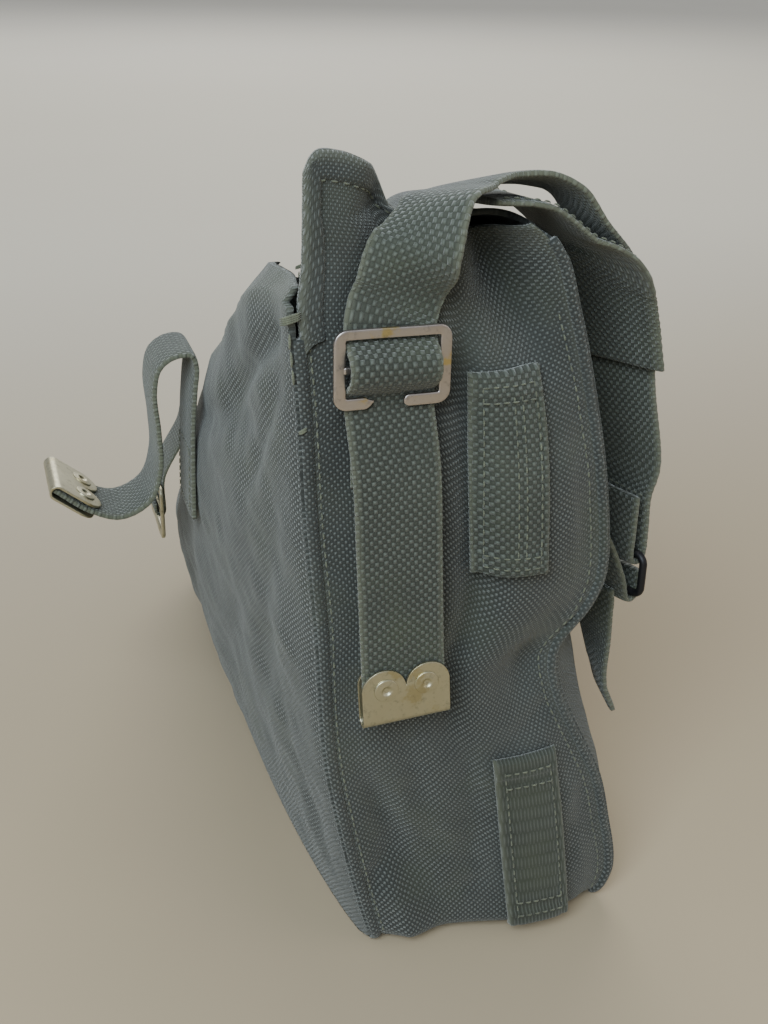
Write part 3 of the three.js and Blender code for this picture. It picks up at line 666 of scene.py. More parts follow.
@dataclass(frozen=True)
class ThreadFinish:
    """Twisted cotton thread: ridges wind round each stitch at sin(turn + 9 * run)."""

    name: str
    colour: Tuple[float, float, float, float]

    def material(self) -> bpy.types.Material:
        """The thread's material."""
        b = Bench(self.name)
        u, v = b.split(b.weave())
        twist = b.math("SINE", b.math("ADD", b.math("MULTIPLY", u, math.pi), b.math("MULTIPLY", v, 9.0)))
        shade = b.ease(b.noise(b.place(), 300.0, 2.0), 0.3, 0.7)
        dark = tuple(x * 0.6 for x in self.colour[:3]) + (1.0,)
        return b.finish(b.mix(shade, dark, self.colour), 0.78, b.bump(twist, 0.00012, 0.5), Sheen_Weight=0.3)


@dataclass(frozen=True)
class MetalFinish:
    """Sheet metal with fine scratches, a dull skin and a second metal showing in patches."""

    name: str
    colour: Tuple[float, float, float, float]
    patch: Tuple[float, float, float, float]
    dirt: Tuple[float, float, float, float]
    rough: float
    patch_share: float
    metallic: float = 1.0

    def material(self) -> bpy.types.Material:
        """The metal's material."""
        b = Bench(self.name)
        place = b.place()
        patches = b.ease(b.noise(place, 90.0, 4.0, 0.65), 1.0 - self.patch_share, 1.08 - self.patch_share)
        grime = b.ease(b.noise(place, 420.0, 5.0, 0.7), 0.5, 0.78)
        scratch = b.noise(place, 1500.0, 3.0, 0.6)
        tint = b.mix(patches, self.colour, self.patch)
        tint = b.mix(b.math("MULTIPLY", grime, 0.55), tint, self.dirt)
        smear = b.noise(place, 160.0, 3.0, 0.6)
        uneven = b.math("ADD", b.math("MULTIPLY", smear, 0.2), b.math("MULTIPLY", grime, 0.22))
        rough = b.math("ADD", self.rough - 0.1, uneven)
        dents = b.bump(b.noise(place, 240.0, 2.0, 0.5), 0.0003, 0.35)
        return b.finish(tint, rough, b.bump(scratch, 0.00005, 0.4, dents), Metallic=self.metallic)


@dataclass(frozen=True)
class FloorFinish:
    """The plain pale floor, warm near the bag and paler further off, and painted paler still far away as
    painted light.
    """

    near: Tuple[float, float, float, float] = (0.42, 0.35, 0.24, 1.0)
    far: Tuple[float, float, float, float] = (0.68, 0.66, 0.57, 1.0)
    # painted light: near white far off, standing in for lamp light that falls off there
    edge: Tuple[float, float, float, float] = (0.95, 0.93, 0.84, 1.0)

    def material(self) -> bpy.types.Material:
        """The floor's material, paler by steps of distance and with a faint cloudiness; the far step is
        painted light.
        """
        b = Bench("pale_floor")
        depth = b.split(b.place())[1]
        tint = b.mix(b.ease(depth, -0.1, 0.9), self.near, self.far)
        # painted light: the floor beyond 1.6 m is painted paler where the lamps' light falls off
        tint = b.mix(b.ease(depth, 1.6, 3.6), tint, self.edge)
        cloud = b.math("MULTIPLY", b.noise(b.place(), 3.0, 3.0, 0.5), 0.08)
        return b.finish(b.mix(cloud, tint, self.near), 0.8, None, Specular_IOR_Level=0.2)


@dataclass(frozen=True)
class Finishes:
    """All the materials of the bag, made once."""

    canvas: bpy.types.Material
    webbing: bpy.types.Material
    ribbed: bpy.types.Material
    thread: bpy.types.Material
    buckle: bpy.types.Material
    brass: bpy.types.Material
    dark: bpy.types.Material

    @staticmethod
    def make() -> "Finishes":
        """Builds each finish."""
        # each woven finish lists painted pit shade, ground colour, then a painted bead highlight
        canvas = WovenFinish(
            "grey_green_canvas", 0.97, 1.0, (0.022, 0.025, 0.023, 1.0), (0.055, 0.062, 0.056, 1.0),
            (0.128, 0.145, 0.138, 1.0), 0.42)
        webbing = WovenFinish(
            "olive_webbing", 1.3, 1.36, (0.026, 0.03, 0.023, 1.0), (0.062, 0.072, 0.057, 1.0),
            (0.1, 0.116, 0.1, 1.0), 0.6, swell=0.5)
        ribbed = WovenFinish(
            "ribbed_webbing", 0.62, 5.0, (0.024, 0.028, 0.021, 1.0), (0.05, 0.058, 0.046, 1.0),
            (0.078, 0.09, 0.075, 1.0), 0.3)
        thread = ThreadFinish("olive_thread", (0.135, 0.15, 0.1, 1.0))
        buckle = MetalFinish(
            "worn_plated_brass", (0.5, 0.46, 0.44, 1.0), (0.55, 0.45, 0.22, 1.0),
            (0.09, 0.075, 0.06, 1.0), 0.36, 0.42)
        brass = MetalFinish(
            "dull_brass", (0.5, 0.48, 0.35, 1.0), (0.43, 0.39, 0.24, 1.0), (0.1, 0.09, 0.05, 1.0), 0.42, 0.45)
        dark = MetalFinish(
            "blackened_metal", (0.03, 0.03, 0.033, 1.0), (0.08, 0.075, 0.07, 1.0),
            (0.02, 0.02, 0.02, 1.0), 0.5, 0.4, 0.8)
        return Finishes(*(f.material() for f in (canvas, webbing, ribbed, thread, buckle, brass, dark)))


def dress(piece: bpy.types.Object, material: bpy.types.Material, slot: str, *nodes: str) -> bpy.types.Object:
    """Gives a new piece its material, hangs it under the root body and hides the CAD nodes that it stands
    for.
    """
    piece.data.materials.append(material)
    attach(piece, "root")
    if nodes:
        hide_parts(*nodes)
    log.info("%s: %d faces", piece.name, len(piece.data.polygons))
    return piece


# The bag's cloth


@dataclass(frozen=True)
class BagShape:
    """The bag's cross-sections. The tables hold shares of the depth and of the height."""

    width: float = 280.0
    depth: float = 84.0
    height: float = 229.0
    corner: float = 6.0
    canvas: float = 1.8
    seam_gap: float = 1.1
    ear_rise: float = 36.0
    front_hem_drop: float = 28.0
    crease_rise: float = 225.0
    crease_drop: float = 58.0
    crease_near: float = 2.8
    crease_far: float = 1.1
    lid_inset: float = 14.0
    hem_inset: float = 4.5
    fold_back_slope: float = 0.82
    sink_start: float = -0.143
    far_sink: float = 0.3
    front_lean: float = 0.89
    back_lean: float = 0.36
    lean_rise: float = 0.26
    lid_start: float = 0.7
    side_rows: int = 21
    corner_rows: int = 3
    bottom_rows: int = 4
    front_rise: Tuple[float, ...] = (0.0, 0.1, 0.23, 0.36, 0.56, 0.72, 0.87, 1.0)
    front_seam: Tuple[float, ...] = (0.505, 0.576, 0.652, 0.71, 0.743, 0.78, 0.8, 0.829)
    front_middle: Tuple[float, ...] = (0.667, 0.73, 0.8, 0.86, 0.935, 0.955, 0.93, 0.857)
    back_run: Tuple[float, ...] = (
        0.0, 0.05, 0.12, 0.19, 0.25, 0.31, 0.37, 0.43, 0.48, 0.54, 0.61, 0.67, 0.72, 0.77,
        0.83, 0.89, 0.95, 1.0)
    back_seam: Tuple[float, ...] = (
        0.46, 0.512, 0.46, 0.405, 0.333, 0.2, 0.173, 0.3, 0.338, 0.3, 0.231, 0.14, 0.043, -0.15, -0.38, -0.55,
        -0.65, -0.68)
    back_middle: Tuple[float, ...] = (
        0.5, 0.51, 0.52, 0.51, 0.5, 0.45, 0.42, 0.4, 0.39, 0.34, 0.26, 0.18, 0.08, -0.06,
        -0.22, -0.34, -0.46, -0.56)
    seam_rise: Tuple[float, ...] = (
        0.0, 0.061, 0.16, 0.236, 0.293, 0.397, 0.472, 0.54, 0.598, 0.716, 0.83, 0.95, 1.04, 1.083, 1.08, 1.03,
        0.95, 0.86)
    middle_rise: Tuple[float, ...] = (
        0.0, 0.061, 0.16, 0.236, 0.293, 0.4, 0.47, 0.54, 0.6, 0.71, 0.82, 0.92, 0.99, 0.985,
        0.93, 0.86, 0.76, 0.66)
    ear_edge_rise: Tuple[float, ...] = (0.96, 1.03, 1.15)
    ear_edge: Tuple[float, ...] = (0.825, 0.812, 0.805)
    ear_across: Tuple[float, ...] = (
        0.0, 0.035, 0.08, 0.19, 0.25, 0.32, 0.37, 0.43, 0.5, 0.58, 0.7, 0.83, 0.93, 1.0)
    ear_top: Tuple[float, ...] = (
        0.84, 0.95, 1.0, 0.98, 0.95, 0.9, 0.845, 0.72, 0.5, 0.28, 0.24, 0.25, 0.35, 0.4)
    # Dents of the side: across, rise, half spread across, half spread up, slant, depth
    side_folds: Tuple[Tuple[float, ...], ...] = (
        (0.8, 1.04, 0.13, 0.13, 0.0, 0.28),
        (0.36, 1.04, 0.1, 0.16, 0.7, 0.115),
        (0.59, 1.12, 0.13, 0.1, 0.0, 0.18),
        (0.53, 0.66, 0.07, 0.3, 0.1, 0.07),
        (0.86, 0.45, 0.12, 0.07, 0.0, 0.08),
        (0.17, 0.2, 0.07, 0.11, -0.5, 0.08),
        (0.75, 0.72, 0.2, 0.2, 0.0, -0.06),
        (0.5, 0.45, 0.45, 0.45, 0.0, -0.07),
        (0.75, 0.17, 0.22, 0.16, 0.0, -0.05),
        (0.12, 0.0, 0.12, 0.12, 0.0, -0.06),
        (0.62, 0.0, 0.24, 0.12, 0.0, -0.06),
    )

    @property
    def half(self) -> float:
        """Half the width."""
        return self.width / 2

    def inward(self, y: Array, power: Union[float, Array]) -> Array:
        """Share of the way from the side seam to mid-width: (1 - (y/half)^2)^power."""
        eta = np.minimum(np.abs(y) / self.half, 1.0)
        return (1.0 - eta * eta) ** power

    def sunk(self, y: Array) -> Array:
        """How far the bag has sunk at a place across it, eased from 0 to 1 at the far side."""
        return smoothstep(y, self.sink_start * self.width, self.half)

    def sink(self, y: Array, full: Array) -> Array:
        """The height at which cloth of a full height stands: above the corner it loses a share."""
        low = self.canvas + self.corner
        return np.where(full <= low, full, low + (full - low) * (1 - self.far_sink * self.sunk(y)))

    def unsink(self, y: Array, z: Array) -> Array:
        """The full height of cloth that stands at a height."""
        low = self.canvas + self.corner
        return np.where(z <= low, z, low + (z - low) / (1 - self.far_sink * self.sunk(y)))

    def lean(self, y: Array, full: Array, share: Array) -> Array:
        """How far back the cloth leans at a full height, from the front, 0, to the back, 1."""
        rise = smoothstep(full, self.lean_rise * self.height, self.height)
        amount = self.depth * (self.front_lean * (1 - share) + self.back_lean * share)
        return self.sunk(y) * rise * amount

    def crease_power(self, y: Array) -> Array:
        """How steeply the crease and the hem dip towards mid-width: more on the near side."""
        return np.where(y < 0, self.crease_near, self.crease_far)

    def crease_height(self, y: Array) -> Array:
        """Full height of the front's crease."""
        return self.crease_rise - self.crease_drop * self.inward(y, self.crease_power(y))

    def front_hem(self, y: Array) -> Array:
        """Full height of the front's top edge."""
        return self.height - self.front_hem_drop * self.inward(y, self.crease_power(y))

    def front_base(self, y: Array, z: Array) -> Array:
        """Where the front's inner face would stand without its lean: a mix of the seam's and the
        middle's profiles, and above the crease a straight slope back."""
        crease = self.crease_height(y)
        mix = self.inward(y, 0.7)
        rise = np.minimum(z / crease, 1.0)
        seam = hermite(self.front_rise, self.front_seam, rise)
        middle = hermite(self.front_rise, self.front_middle, rise)
        folded = np.maximum(z - crease, 0.0) * self.fold_back_slope
        return -self.depth * (seam * (1 - mix) + middle * mix) + folded

    def front_x(self, y: Array, full: Array) -> Array:
        """Where the front's inner face stands at a full height."""
        return self.front_base(y, full) + self.lean(y, full, 0.0)

    def back_point(self, y: Array, run: Array) -> Tuple[Array, Array]:
        """X and Z of the back's and the lid's inner face at a share of its run."""
        mix = 1.0 - np.minimum(np.abs(y) / self.half, 1.0) ** 6
        lid_mix = self.inward(y, 0.8)
        blend = smoothstep(run, 0.55, self.lid_start)
        m = mix * (1 - blend) + lid_mix * blend
        tables = (self.back_seam, self.back_middle, self.seam_rise, self.middle_rise)
        x_seam, x_middle, z_seam, z_middle = (hermite(self.back_run, table, run) for table in tables)
        x = x_seam * (1 - m) + x_middle * m
        z = z_seam * (1 - m) + z_middle * m
        full = self.height * z
        share = 1 - smoothstep(run, self.lid_start, 1.0)
        return self.depth * x + self.lean(y, full, share), self.sink(y, full)

    def back_x(self, y: Array, z: Array) -> Array:
        """Where the back's inner face stands at a height, by halving the run thirty times."""
        y, z = np.broadcast_arrays(np.asarray(y, float), np.asarray(z, float))
        low, high = np.zeros(z.shape), np.full(z.shape, 0.77)
        for _ in range(30):
            run = (low + high) / 2
            under = self.back_point(y, run)[1] < z
            low, high = np.where(under, run, low), np.where(under, high, run)
        return self.back_point(y, low)[0]

    def half_span(self, z: Array, radius: float, outer: float) -> Array:
        """Half the width of the front and back, round at the two lower corners."""
        drop = np.maximum(radius - z, 0.0)
        return np.where(z >= radius, outer, outer - radius + np.sqrt(np.maximum(radius**2 - drop**2, 0.0)))

    def side_front_x(self, y: Array, z: Array) -> Array:
        """The side cloth's front seam, which goes over into the ear's own edge at the top."""
        share = z / self.height
        ear = -self.depth * hermite(self.ear_edge_rise, self.ear_edge, share)
        part = smoothstep(share, self.ear_edge_rise[0], self.ear_edge_rise[1])
        base = self.front_base(y, np.minimum(z, self.crease_rise)) * (1 - part) + ear * part
        return base + self.lean(y, z, 0.0)

    def fold_depth(self, across: Array, rise: Array) -> Array:
        """How far the side cloth is pushed in: a sum of Gaussian dents and bulges."""
        total = np.zeros(np.broadcast(across, rise).shape)
        for cu, cv, wide, tall, slant, depth in self.side_folds:
            dv = (rise - cv) / tall
            du = (across - cu - slant * (rise - cv)) / wide
            total = total + depth * np.exp(-(du * du + dv * dv))
        edge = np.minimum(np.minimum(across, 1 - across) * 8, 1.0)
        return self.depth * total * edge

    @property
    def strip_steps(self) -> float:
        """How many steps the side strip's line has."""
        return 2 * (self.side_rows + self.corner_rows) + self.bottom_rows

    def strip_point(self, across: Array, step: Array, side: float, extra: Array = 0.0) -> Array:
        """A point of the side strip, which runs down the near side, under and up the far side.

        Args:
            across: 0 at the front seam, 1 at the back seam.
            step: Steps along the strip, 0 at the near ear's top.
            side: 0 for the inner face, 1 for the outer one.
            extra: How much further the cloth is pushed in there.

        Returns:
            Points in millimetres.
        """
        across, step = np.broadcast_arrays(np.asarray(across, float), np.asarray(step, float))
        far = step > self.strip_steps / 2
        k = np.where(far, self.strip_steps - step, step)
        mirror = np.where(far, 1.0, -1.0)
        upright = k <= self.side_rows
        turn = np.clip((k - self.side_rows) / self.corner_rows, 0, 1) * math.pi / 2
        run = np.clip((k - self.side_rows - self.corner_rows) / (self.bottom_rows / 2), 0, 1)
        low = self.canvas + self.corner
        rise = self.height + self.ear_rise * hermite(self.ear_across, self.ear_top, across)
        line_y = np.where(upright, self.half, (self.half - self.corner * (1 - np.cos(turn))) * (1 - run))
        line_y = np.where(run > 0, (self.half - self.corner) * (1 - run), line_y)
        line_z = np.where(
            upright,
            low + (rise - low) * (1 - k / self.side_rows),
            self.canvas + self.corner * (1 - np.sin(turn)))
        push = (self.fold_depth(across, line_z / self.height) + extra) * np.cos(turn)
        y = line_y - push + side * self.canvas * np.cos(turn)
        full = line_z - side * self.canvas * np.sin(turn)
        reach = mirror * np.minimum(y + push, self.half)
        z = self.sink(reach, full)
        front = self.side_front_x(reach, full) + self.seam_gap
        back = self.back_x(reach, z) - self.seam_gap
        return np.stack([front + (back - front) * across, mirror * y, z], axis=-1)

    def near_face(self, x: Array, z: Array) -> Array:
        """Y of the near side's outer face."""
        radius = self.corner + self.canvas
        drop = np.clip(radius - z, 0.0, radius)
        reach = np.sqrt(radius**2 - drop**2)
        front = self.side_front_x(-self.half, z) + self.seam_gap
        back = self.back_x(-self.half, z) - self.seam_gap
        across = np.clip((x - front) / (back - front), 0, 1)
        return self.fold_depth(across, z / self.height) * reach / radius - (self.half - self.corner) - reach

    def seat(self, x: float, z: float, width: float, stand: float) -> float:
        """Where a strap's middle lies when its width rests on the side's cloth."""
        shares = np.array([-0.5, -0.25, 0, 0.25, 0.5])
        return float(np.min(self.near_face(x + shares * width, np.full(5, z)))) - stand

    def at(self, x: float, y: float, z: float) -> Array:
        """A place from shares of the depth and height, with y in millimetres."""
        return np.array([x * self.depth, y, z * self.height])


@dataclass
class CanvasBody:
    """The side strip, the front panel and the back panel with its lid, with their finer folds."""

    shape: BagShape
    near_marks: Tuple[Tuple[float, ...], ...] = (
        (-22.0, 212.0, 60.0, 26.0, 5.0, 2.0),
        (-42.0, 232.0, 75.0, 26.0, 5.0, 1.4),
        (14.0, 208.0, -58.0, 18.0, 4.5, 2.4),
        (-4.0, 205.0, -80.0, 20.0, 4.0, -1.6),
        (22.0, 100.0, -22.0, 20.0, 5.0, 2.2),
        (10.0, 84.0, 30.0, 18.0, 4.0, 1.6),
        (14.0, 118.0, 14.0, 16.0, 4.0, -1.4),
        (-30.0, 60.0, 102.0, 36.0, 4.5, 1.8),
        (-12.0, 52.0, 94.0, 34.0, 4.0, 1.5),
        (-38.0, 34.0, 120.0, 18.0, 4.0, 2.4),
        (-46.0, 26.0, 60.0, 14.0, 4.5, 2.6),
        (-20.0, 18.0, 20.0, 16.0, 3.5, 1.3),
        (-50.0, 150.0, 88.0, 50.0, 4.0, 0.9),
        (26.0, 40.0, 80.0, 26.0, 4.0, 0.9),
    )
    front_marks: Tuple[Tuple[float, ...], ...] = (
        (-104.0, 196.0, -38.0, 34.0, 5.0, 3.6),
        (-118.0, 180.0, -55.0, 26.0, 4.0, 2.0),
        (-70.0, 168.0, -20.0, 46.0, 6.0, 2.6),
        (-110.0, 120.0, -70.0, 60.0, 7.0, 1.5),
        (-60.0, 80.0, -50.0, 60.0, 9.0, 1.8),
        (-20.0, 130.0, -80.0, 60.0, 9.0, 1.4),
        (40.0, 100.0, 60.0, 60.0, 9.0, 1.6),
        (90.0, 150.0, 40.0, 50.0, 8.0, 2.0),
        (110.0, 60.0, 70.0, 50.0, 8.0, 1.6),
        (-120.0, 46.0, 75.0, 30.0, 5.0, 1.6),
    )

    def side_extra(self, across: Array, step: Array) -> Array:
        """The side's finer folds: marks, unevenness and the seams' puckers, in millimetres."""
        shape = self.shape
        plain = shape.strip_point(across, step, 1.0)
        x, z = plain[..., 0], plain[..., 2]
        near = step <= shape.strip_steps / 2
        marks = soft_marks(x, z, self.near_marks)
        uneven = 0.35 * ripple(x, z, 5, 34.0) + 0.12 * ripple(x, z, 8, 11.0)
        edge = np.minimum(across, 1 - across)
        pucker = 0.16 * np.sin(z * 2 * math.pi / 6.4 + 2 * np.sin(z / 19.0)) * np.exp(-((edge / 0.07) ** 2))
        fade = smoothstep(edge, 0.0, 0.07) * smoothstep(z, 15.0, 26.0)
        return np.where(near, (marks + uneven) * fade, uneven * fade) + pucker * smoothstep(z, 15.0, 26.0)

    def side_strip(self) -> Sheeting:
        """The side strip's wall: the CAD strip's formula with the finer folds pushed in."""
        shape = self.shape
        near = np.linspace(0, shape.side_rows, 190)
        low = np.linspace(shape.side_rows, shape.strip_steps / 2, 50)[1:]
        far = np.linspace(shape.strip_steps / 2, shape.strip_steps - shape.side_rows, 40)[1:]
        top = np.linspace(shape.strip_steps - shape.side_rows, shape.strip_steps, 120)[1:]
        step = np.concatenate([near, low, far, top])[:, None]
        across = np.linspace(0, 1, 76)[None, :]
        across, step = np.broadcast_arrays(across, step)
        extra = self.side_extra(across, step)
        inner = shape.strip_point(across, step, 0.0, extra)
        outer = shape.strip_point(across, step, 1.0, extra)
        run = np.cumsum(np.linalg.norm(np.diff(outer[:, 38], axis=0, prepend=outer[:1, 38]), axis=1))
        over = (across - 0.5) * 88.0
        weave = np.stack([over, np.broadcast_to(run[:, None], over.shape)], axis=-1)
        edge = np.minimum(across, 1 - across)
        wear = 0.5 * np.exp(-((edge / 0.02) ** 2)) + 0.5 * np.exp(-((step / 0.6) ** 2))
        sheeting = Sheeting()
        add_wall(sheeting, inner, outer, weave, np.clip(wear, 0, 1))
        return sheeting

    def front_panel(self) -> Sheeting:
        """The front panel's wall, with its finer folds pushed in along X."""
        shape = self.shape
        row = np.concatenate([np.linspace(0, 13, 120), np.linspace(13, 17, 26)[1:]])[:, None] / 17
        u = np.linspace(0, 1, 180)[None, :]
        u, row = np.broadcast_arrays(u, row)
        edge = shape.half + shape.canvas
        reach = (2 * u - 1) * edge
        crease = shape.crease_height(reach)
        hem = shape.front_hem(reach)
        past = np.maximum(row * 17 - 13, 0) / 4
        z = crease * np.minimum(row * 17 / 13, 1) + (hem - crease) * past
        inside = np.where(past > 0, shape.hem_inset, 0.0)
        y = (2 * u - 1) * (shape.half_span(z, shape.corner + shape.canvas, edge) - inside)
        marks = soft_marks(y, z, self.front_marks)
        uneven = 0.6 * ripple(y, z, 15, 48.0) + 0.15 * ripple(y, z, 18, 13.0)
        rim = smoothstep(shape.half - np.abs(y), 0.0, 16.0) * smoothstep(z, 4.0, 24.0)
        push = (marks + uneven) * rim
        near_seam = np.exp(-(((shape.half - np.abs(y)) / 6.0) ** 2))
        push = push + 0.16 * np.sin(z * 2 * math.pi / 6.4) * near_seam * smoothstep(z, 10.0, 24.0)
        x = shape.front_x(y, z) + push
        inner = np.stack([x, y, shape.sink(y, z)], axis=-1)
        outer = inner - np.array([shape.canvas, 0, 0])
        weave = np.stack([y, z * 1.06], axis=-1)
        wear = 0.6 * np.exp(-(((z - crease) / 4.0) ** 2)) + 0.4 * np.exp(-(((z - hem) / 3.0) ** 2))
        sheeting = Sheeting()
        add_wall(sheeting, inner, outer, weave, wear * 0.8)
        return sheeting

    def back_and_lid(self) -> Sheeting:
        """The back and the lid, one cloth: each point moved out along the profile's normal."""
        shape = self.shape
        v = np.linspace(0, 1, 210)[:, None]
        u = np.linspace(0, 1, 150)[None, :]
        u, v = np.broadcast_arrays(u, v)
        edge = shape.half + shape.canvas
        guess = shape.back_point(np.zeros(v.shape), v)[1]
        low = shape.half_span(np.maximum(guess, 0), shape.corner + shape.canvas, edge)
        narrow = smoothstep(v, shape.lid_start, 0.75) * (shape.canvas + shape.lid_inset)
        y = (2 * u - 1) * np.where(v < 0.5, low, edge - narrow)
        here = np.stack([shape.back_point(y, v)[0], y, shape.back_point(y, v)[1]], axis=-1)
        ahead = shape.back_point(y, np.minimum(v + 0.004, 1))
        behind = shape.back_point(y, np.maximum(v - 0.004, 0))
        normal = unit(np.stack([ahead[1] - behind[1], 0 * y, behind[0] - ahead[0]], axis=-1))
        rest = smoothstep(v, 0, 0.05)[..., None]
        normal = unit(normal * rest + np.array([1.0, 0, 0]) * (1 - rest))
        run = np.cumsum(np.linalg.norm(np.diff(here[:, 75], axis=0, prepend=here[:1, 75]), axis=1))[:, None]
        run = np.broadcast_to(run, y.shape)
        uneven = 0.7 * ripple(y, run, 25, 52.0) + 0.15 * ripple(y, run, 28, 14.0)
        rim = smoothstep(shape.half - np.abs(y), 0.0, 16.0)
        rim = rim * smoothstep(v, 0.02, 0.1) * smoothstep(1 - v, 0.0, 0.05)
        here = here - normal * (uneven * rim)[..., None]
        sheeting = Sheeting()
        add_wall(sheeting, here, here + normal * shape.canvas, np.stack([y, run], axis=-1))
        return sheeting

    def build(self, finishes: Finishes) -> List[bpy.types.Object]:
        """Builds and dresses the three cloths."""
        return [
            dress(self.side_strip().build("side_cloth"), finishes.canvas, "canvas", "side_strip"),
            dress(self.front_panel().build("front_cloth"), finishes.canvas, "canvas", "front_panel"),
            dress(
                self.back_and_lid().build("back_and_lid_cloth"),
                finishes.canvas, "canvas", "back_panel_and_lid"),
        ]


@dataclass
class Seams:
    """The raised seams, the hems and their stitching."""

    shape: BagShape
    body: CanvasBody
    welt_width: float = 3.4
    welt_height: float = 2.6
    piping: float = 3.0

    def edge_line(self, across: float, start: float, end: float, lift: float, count: int = 500) -> Array:
        """A line along the side strip's face at a share across, lifted off the cloth."""
        step = np.linspace(start, end, count)
        place = np.full(count, across)
        extra = self.body.side_extra(place, step)
        outer = self.shape.strip_point(place, step, 1.0, extra)
        return outer + self.out(outer) * lift

    def out(self, line: Array) -> Array:
        """Outward directions in the Y-Z plane along the strip's line."""
        along = np.gradient(line, axis=0)
        along[:, 0] = 0.0
        along = unit(along)
        return np.stack([0 * along[:, 0], along[:, 2], -along[:, 1]], axis=1)

    def welts(self) -> Sheeting:
        """The seams' raised edges: an ellipse carried along the front and back seams."""
        sheeting = Sheeting()
        end = self.shape.strip_steps
        for across, shift, width, height, first in (
            (0.0, -0.4, self.welt_width, self.welt_height, 3.6),
            (1.0, 0.7, self.piping, self.piping, 0.4),
        ):
            line = self.edge_line(across, first, end - first, 0.0)
            line[:, 0] += shift
            run = arc_lengths(line)
            line = resample(line, np.arange(0, run[-1], 1.1))
            along = unit(np.gradient(line, axis=0))
            out = self.out(line)
            out = unit(out - along * np.sum(out * along, axis=1, keepdims=True))
            wide = np.cross(along, out)
            line[:, 2] = np.maximum(line[:, 2], height / 2 + 0.1)
            wobble = 1.0 + 0.05 * np.sin(arc_lengths(line) * 2 * math.pi / 3.1)
            raised = line + out * (0.1 * wobble[:, None])
            add_sweep(sheeting, raised, wide, out, round_profile(width, height, 14))
        return sheeting

    def ear_hems(self) -> Sheeting:
        """The ears' turned edges: a second thickness of cloth along the front edge and the top."""
        sheeting = Sheeting()
        shape = self.shape
        for side in Side:
            t = np.linspace(0, 1, 150)
            corner = 0.42
            climb = np.clip(t / corner, 0, 1)
            cross = np.clip((t - corner) / (1 - corner), 0, 1)
            step = 4.0 * (1 - smoothstep(climb, 0.0, 1.0) ** 1.0) + 0.0 * cross
            across = cross * 0.5
            if side is Side.FAR:
                step = shape.strip_steps - step
            rows = []
            widths = np.linspace(0, 1, 8)
            sign = 1.0 if side is Side.NEAR else -1.0
            for w in widths:
                a = np.clip(across + w * 0.085 * (1 - smoothstep(cross, 0.0, 0.14)), 0, 1)
                s = step + sign * w * 0.62 * smoothstep(t, 0.34, 0.5)
                s = np.clip(s, 0, shape.strip_steps)
                point = shape.strip_point(a, s, 1.0, self.body.side_extra(a, s))
                rows.append(point)
            grid = np.stack(rows, axis=1)
            out = np.array([0.0, side.value, 0.0])
            tip = np.sqrt(np.clip(1 - (2 * widths - 1) ** 6, 0, 1))[None, :, None]
            weave = np.stack(np.broadcast_arrays(widths[None, :] * 8, (t * 70)[:, None]), axis=-1)
            worn = np.broadcast_to(np.exp(-((widths[None, :] / 0.3) ** 2)), grid.shape[:2])
            add_wall(sheeting, grid + out * 0.05, grid + out * (0.1 + 1.3 * tip), weave, worn * 0.7)
        return sheeting

    def stitch_rows(self) -> List[StitchRow]:
        """The stitches beside the seams and along the ears' hems."""
        rows: List[StitchRow] = []
        end = self.shape.strip_steps
        half = end / 2
        for across, first in ((0.028, 3.4), (0.955, 2.2)):
            for start, stop in ((first, half - 4.5), (half + 4.5, end - first)):
                line = self.edge_line(across, start, stop, 0.15, 700)
                rows.append(StitchRow(line, self.out(line), pitch=3.1, length=2.2, thread=0.62))
        for side in Side:
            step = 0.62 if side is Side.NEAR else end - 0.62
            place = np.linspace(0.06, 0.52, 200)
            steps = np.full(200, step)
            line = self.shape.strip_point(place, steps, 1.0, self.body.side_extra(place, steps))
            out = np.broadcast_to(np.array([0.0, side.value, 0.0]), line.shape)
            rows.append(StitchRow(line + out * 0.3, out, pitch=3.0, length=2.1, thread=0.6))
        return rows

    def tacks(self) -> List[StitchRow]:
        """The bartacks across the front seam at the mouth, and the loose long stitches below."""
        rows: List[StitchRow] = []
        shape = self.shape
        for side in Side:
            y = side.value * (shape.half + shape.canvas + 0.9)
            out = np.array([0.0, side.value, 0.0])
            for rise, reach, count in ((221.5, 6.4, 4), (190.5, 3.0, 2)):
                for k in range(count):
                    full = rise + 0.55 * k
                    z = float(shape.sink(np.array(side.value * shape.half), np.array(full)))
                    edge = shape.side_front_x(np.array(side.value * shape.half), np.array(full))
                    x0 = float(edge) - reach * 0.72
                    line = np.array(
                        [[x0, y, z - 0.8], [x0 + reach / 2, y * 1.004, z], [x0 + reach, y, z + 0.8]])
                    rows.append(StitchRow(
                        line, np.tile(out, (3, 1)), pitch=reach, length=reach * 0.98, thread=0.85))
            for k, full in enumerate((216.0, 211.0, 206.0)):
                z = float(shape.sink(np.array(side.value * shape.half), np.array(full)))
                x0 = float(shape.side_front_x(np.array(side.value * shape.half), np.array(full))) - 2.4
                line = np.array([[x0, y, z + 2.4], [x0 + 0.3, y, z], [x0 + 0.2 * k, y, z - 2.4]])
                rows.append(StitchRow(line, np.tile(out, (3, 1)), pitch=4.8, length=4.6, thread=0.8))
        return rows

    def build(self, finishes: Finishes) -> List[bpy.types.Object]:
        """Builds and dresses the seams, the hems and the stitches."""
        return [
            dress(self.welts().build("raised_seams"), finishes.canvas, "canvas"),
            dress(self.ear_hems().build("ear_hems"), finishes.canvas, "canvas"),
            dress(
                stitch_mesh(self.stitch_rows() + self.tacks(), "seam_stitches"),
                finishes.thread, "webbing"),
        ]


# Webbing and brass


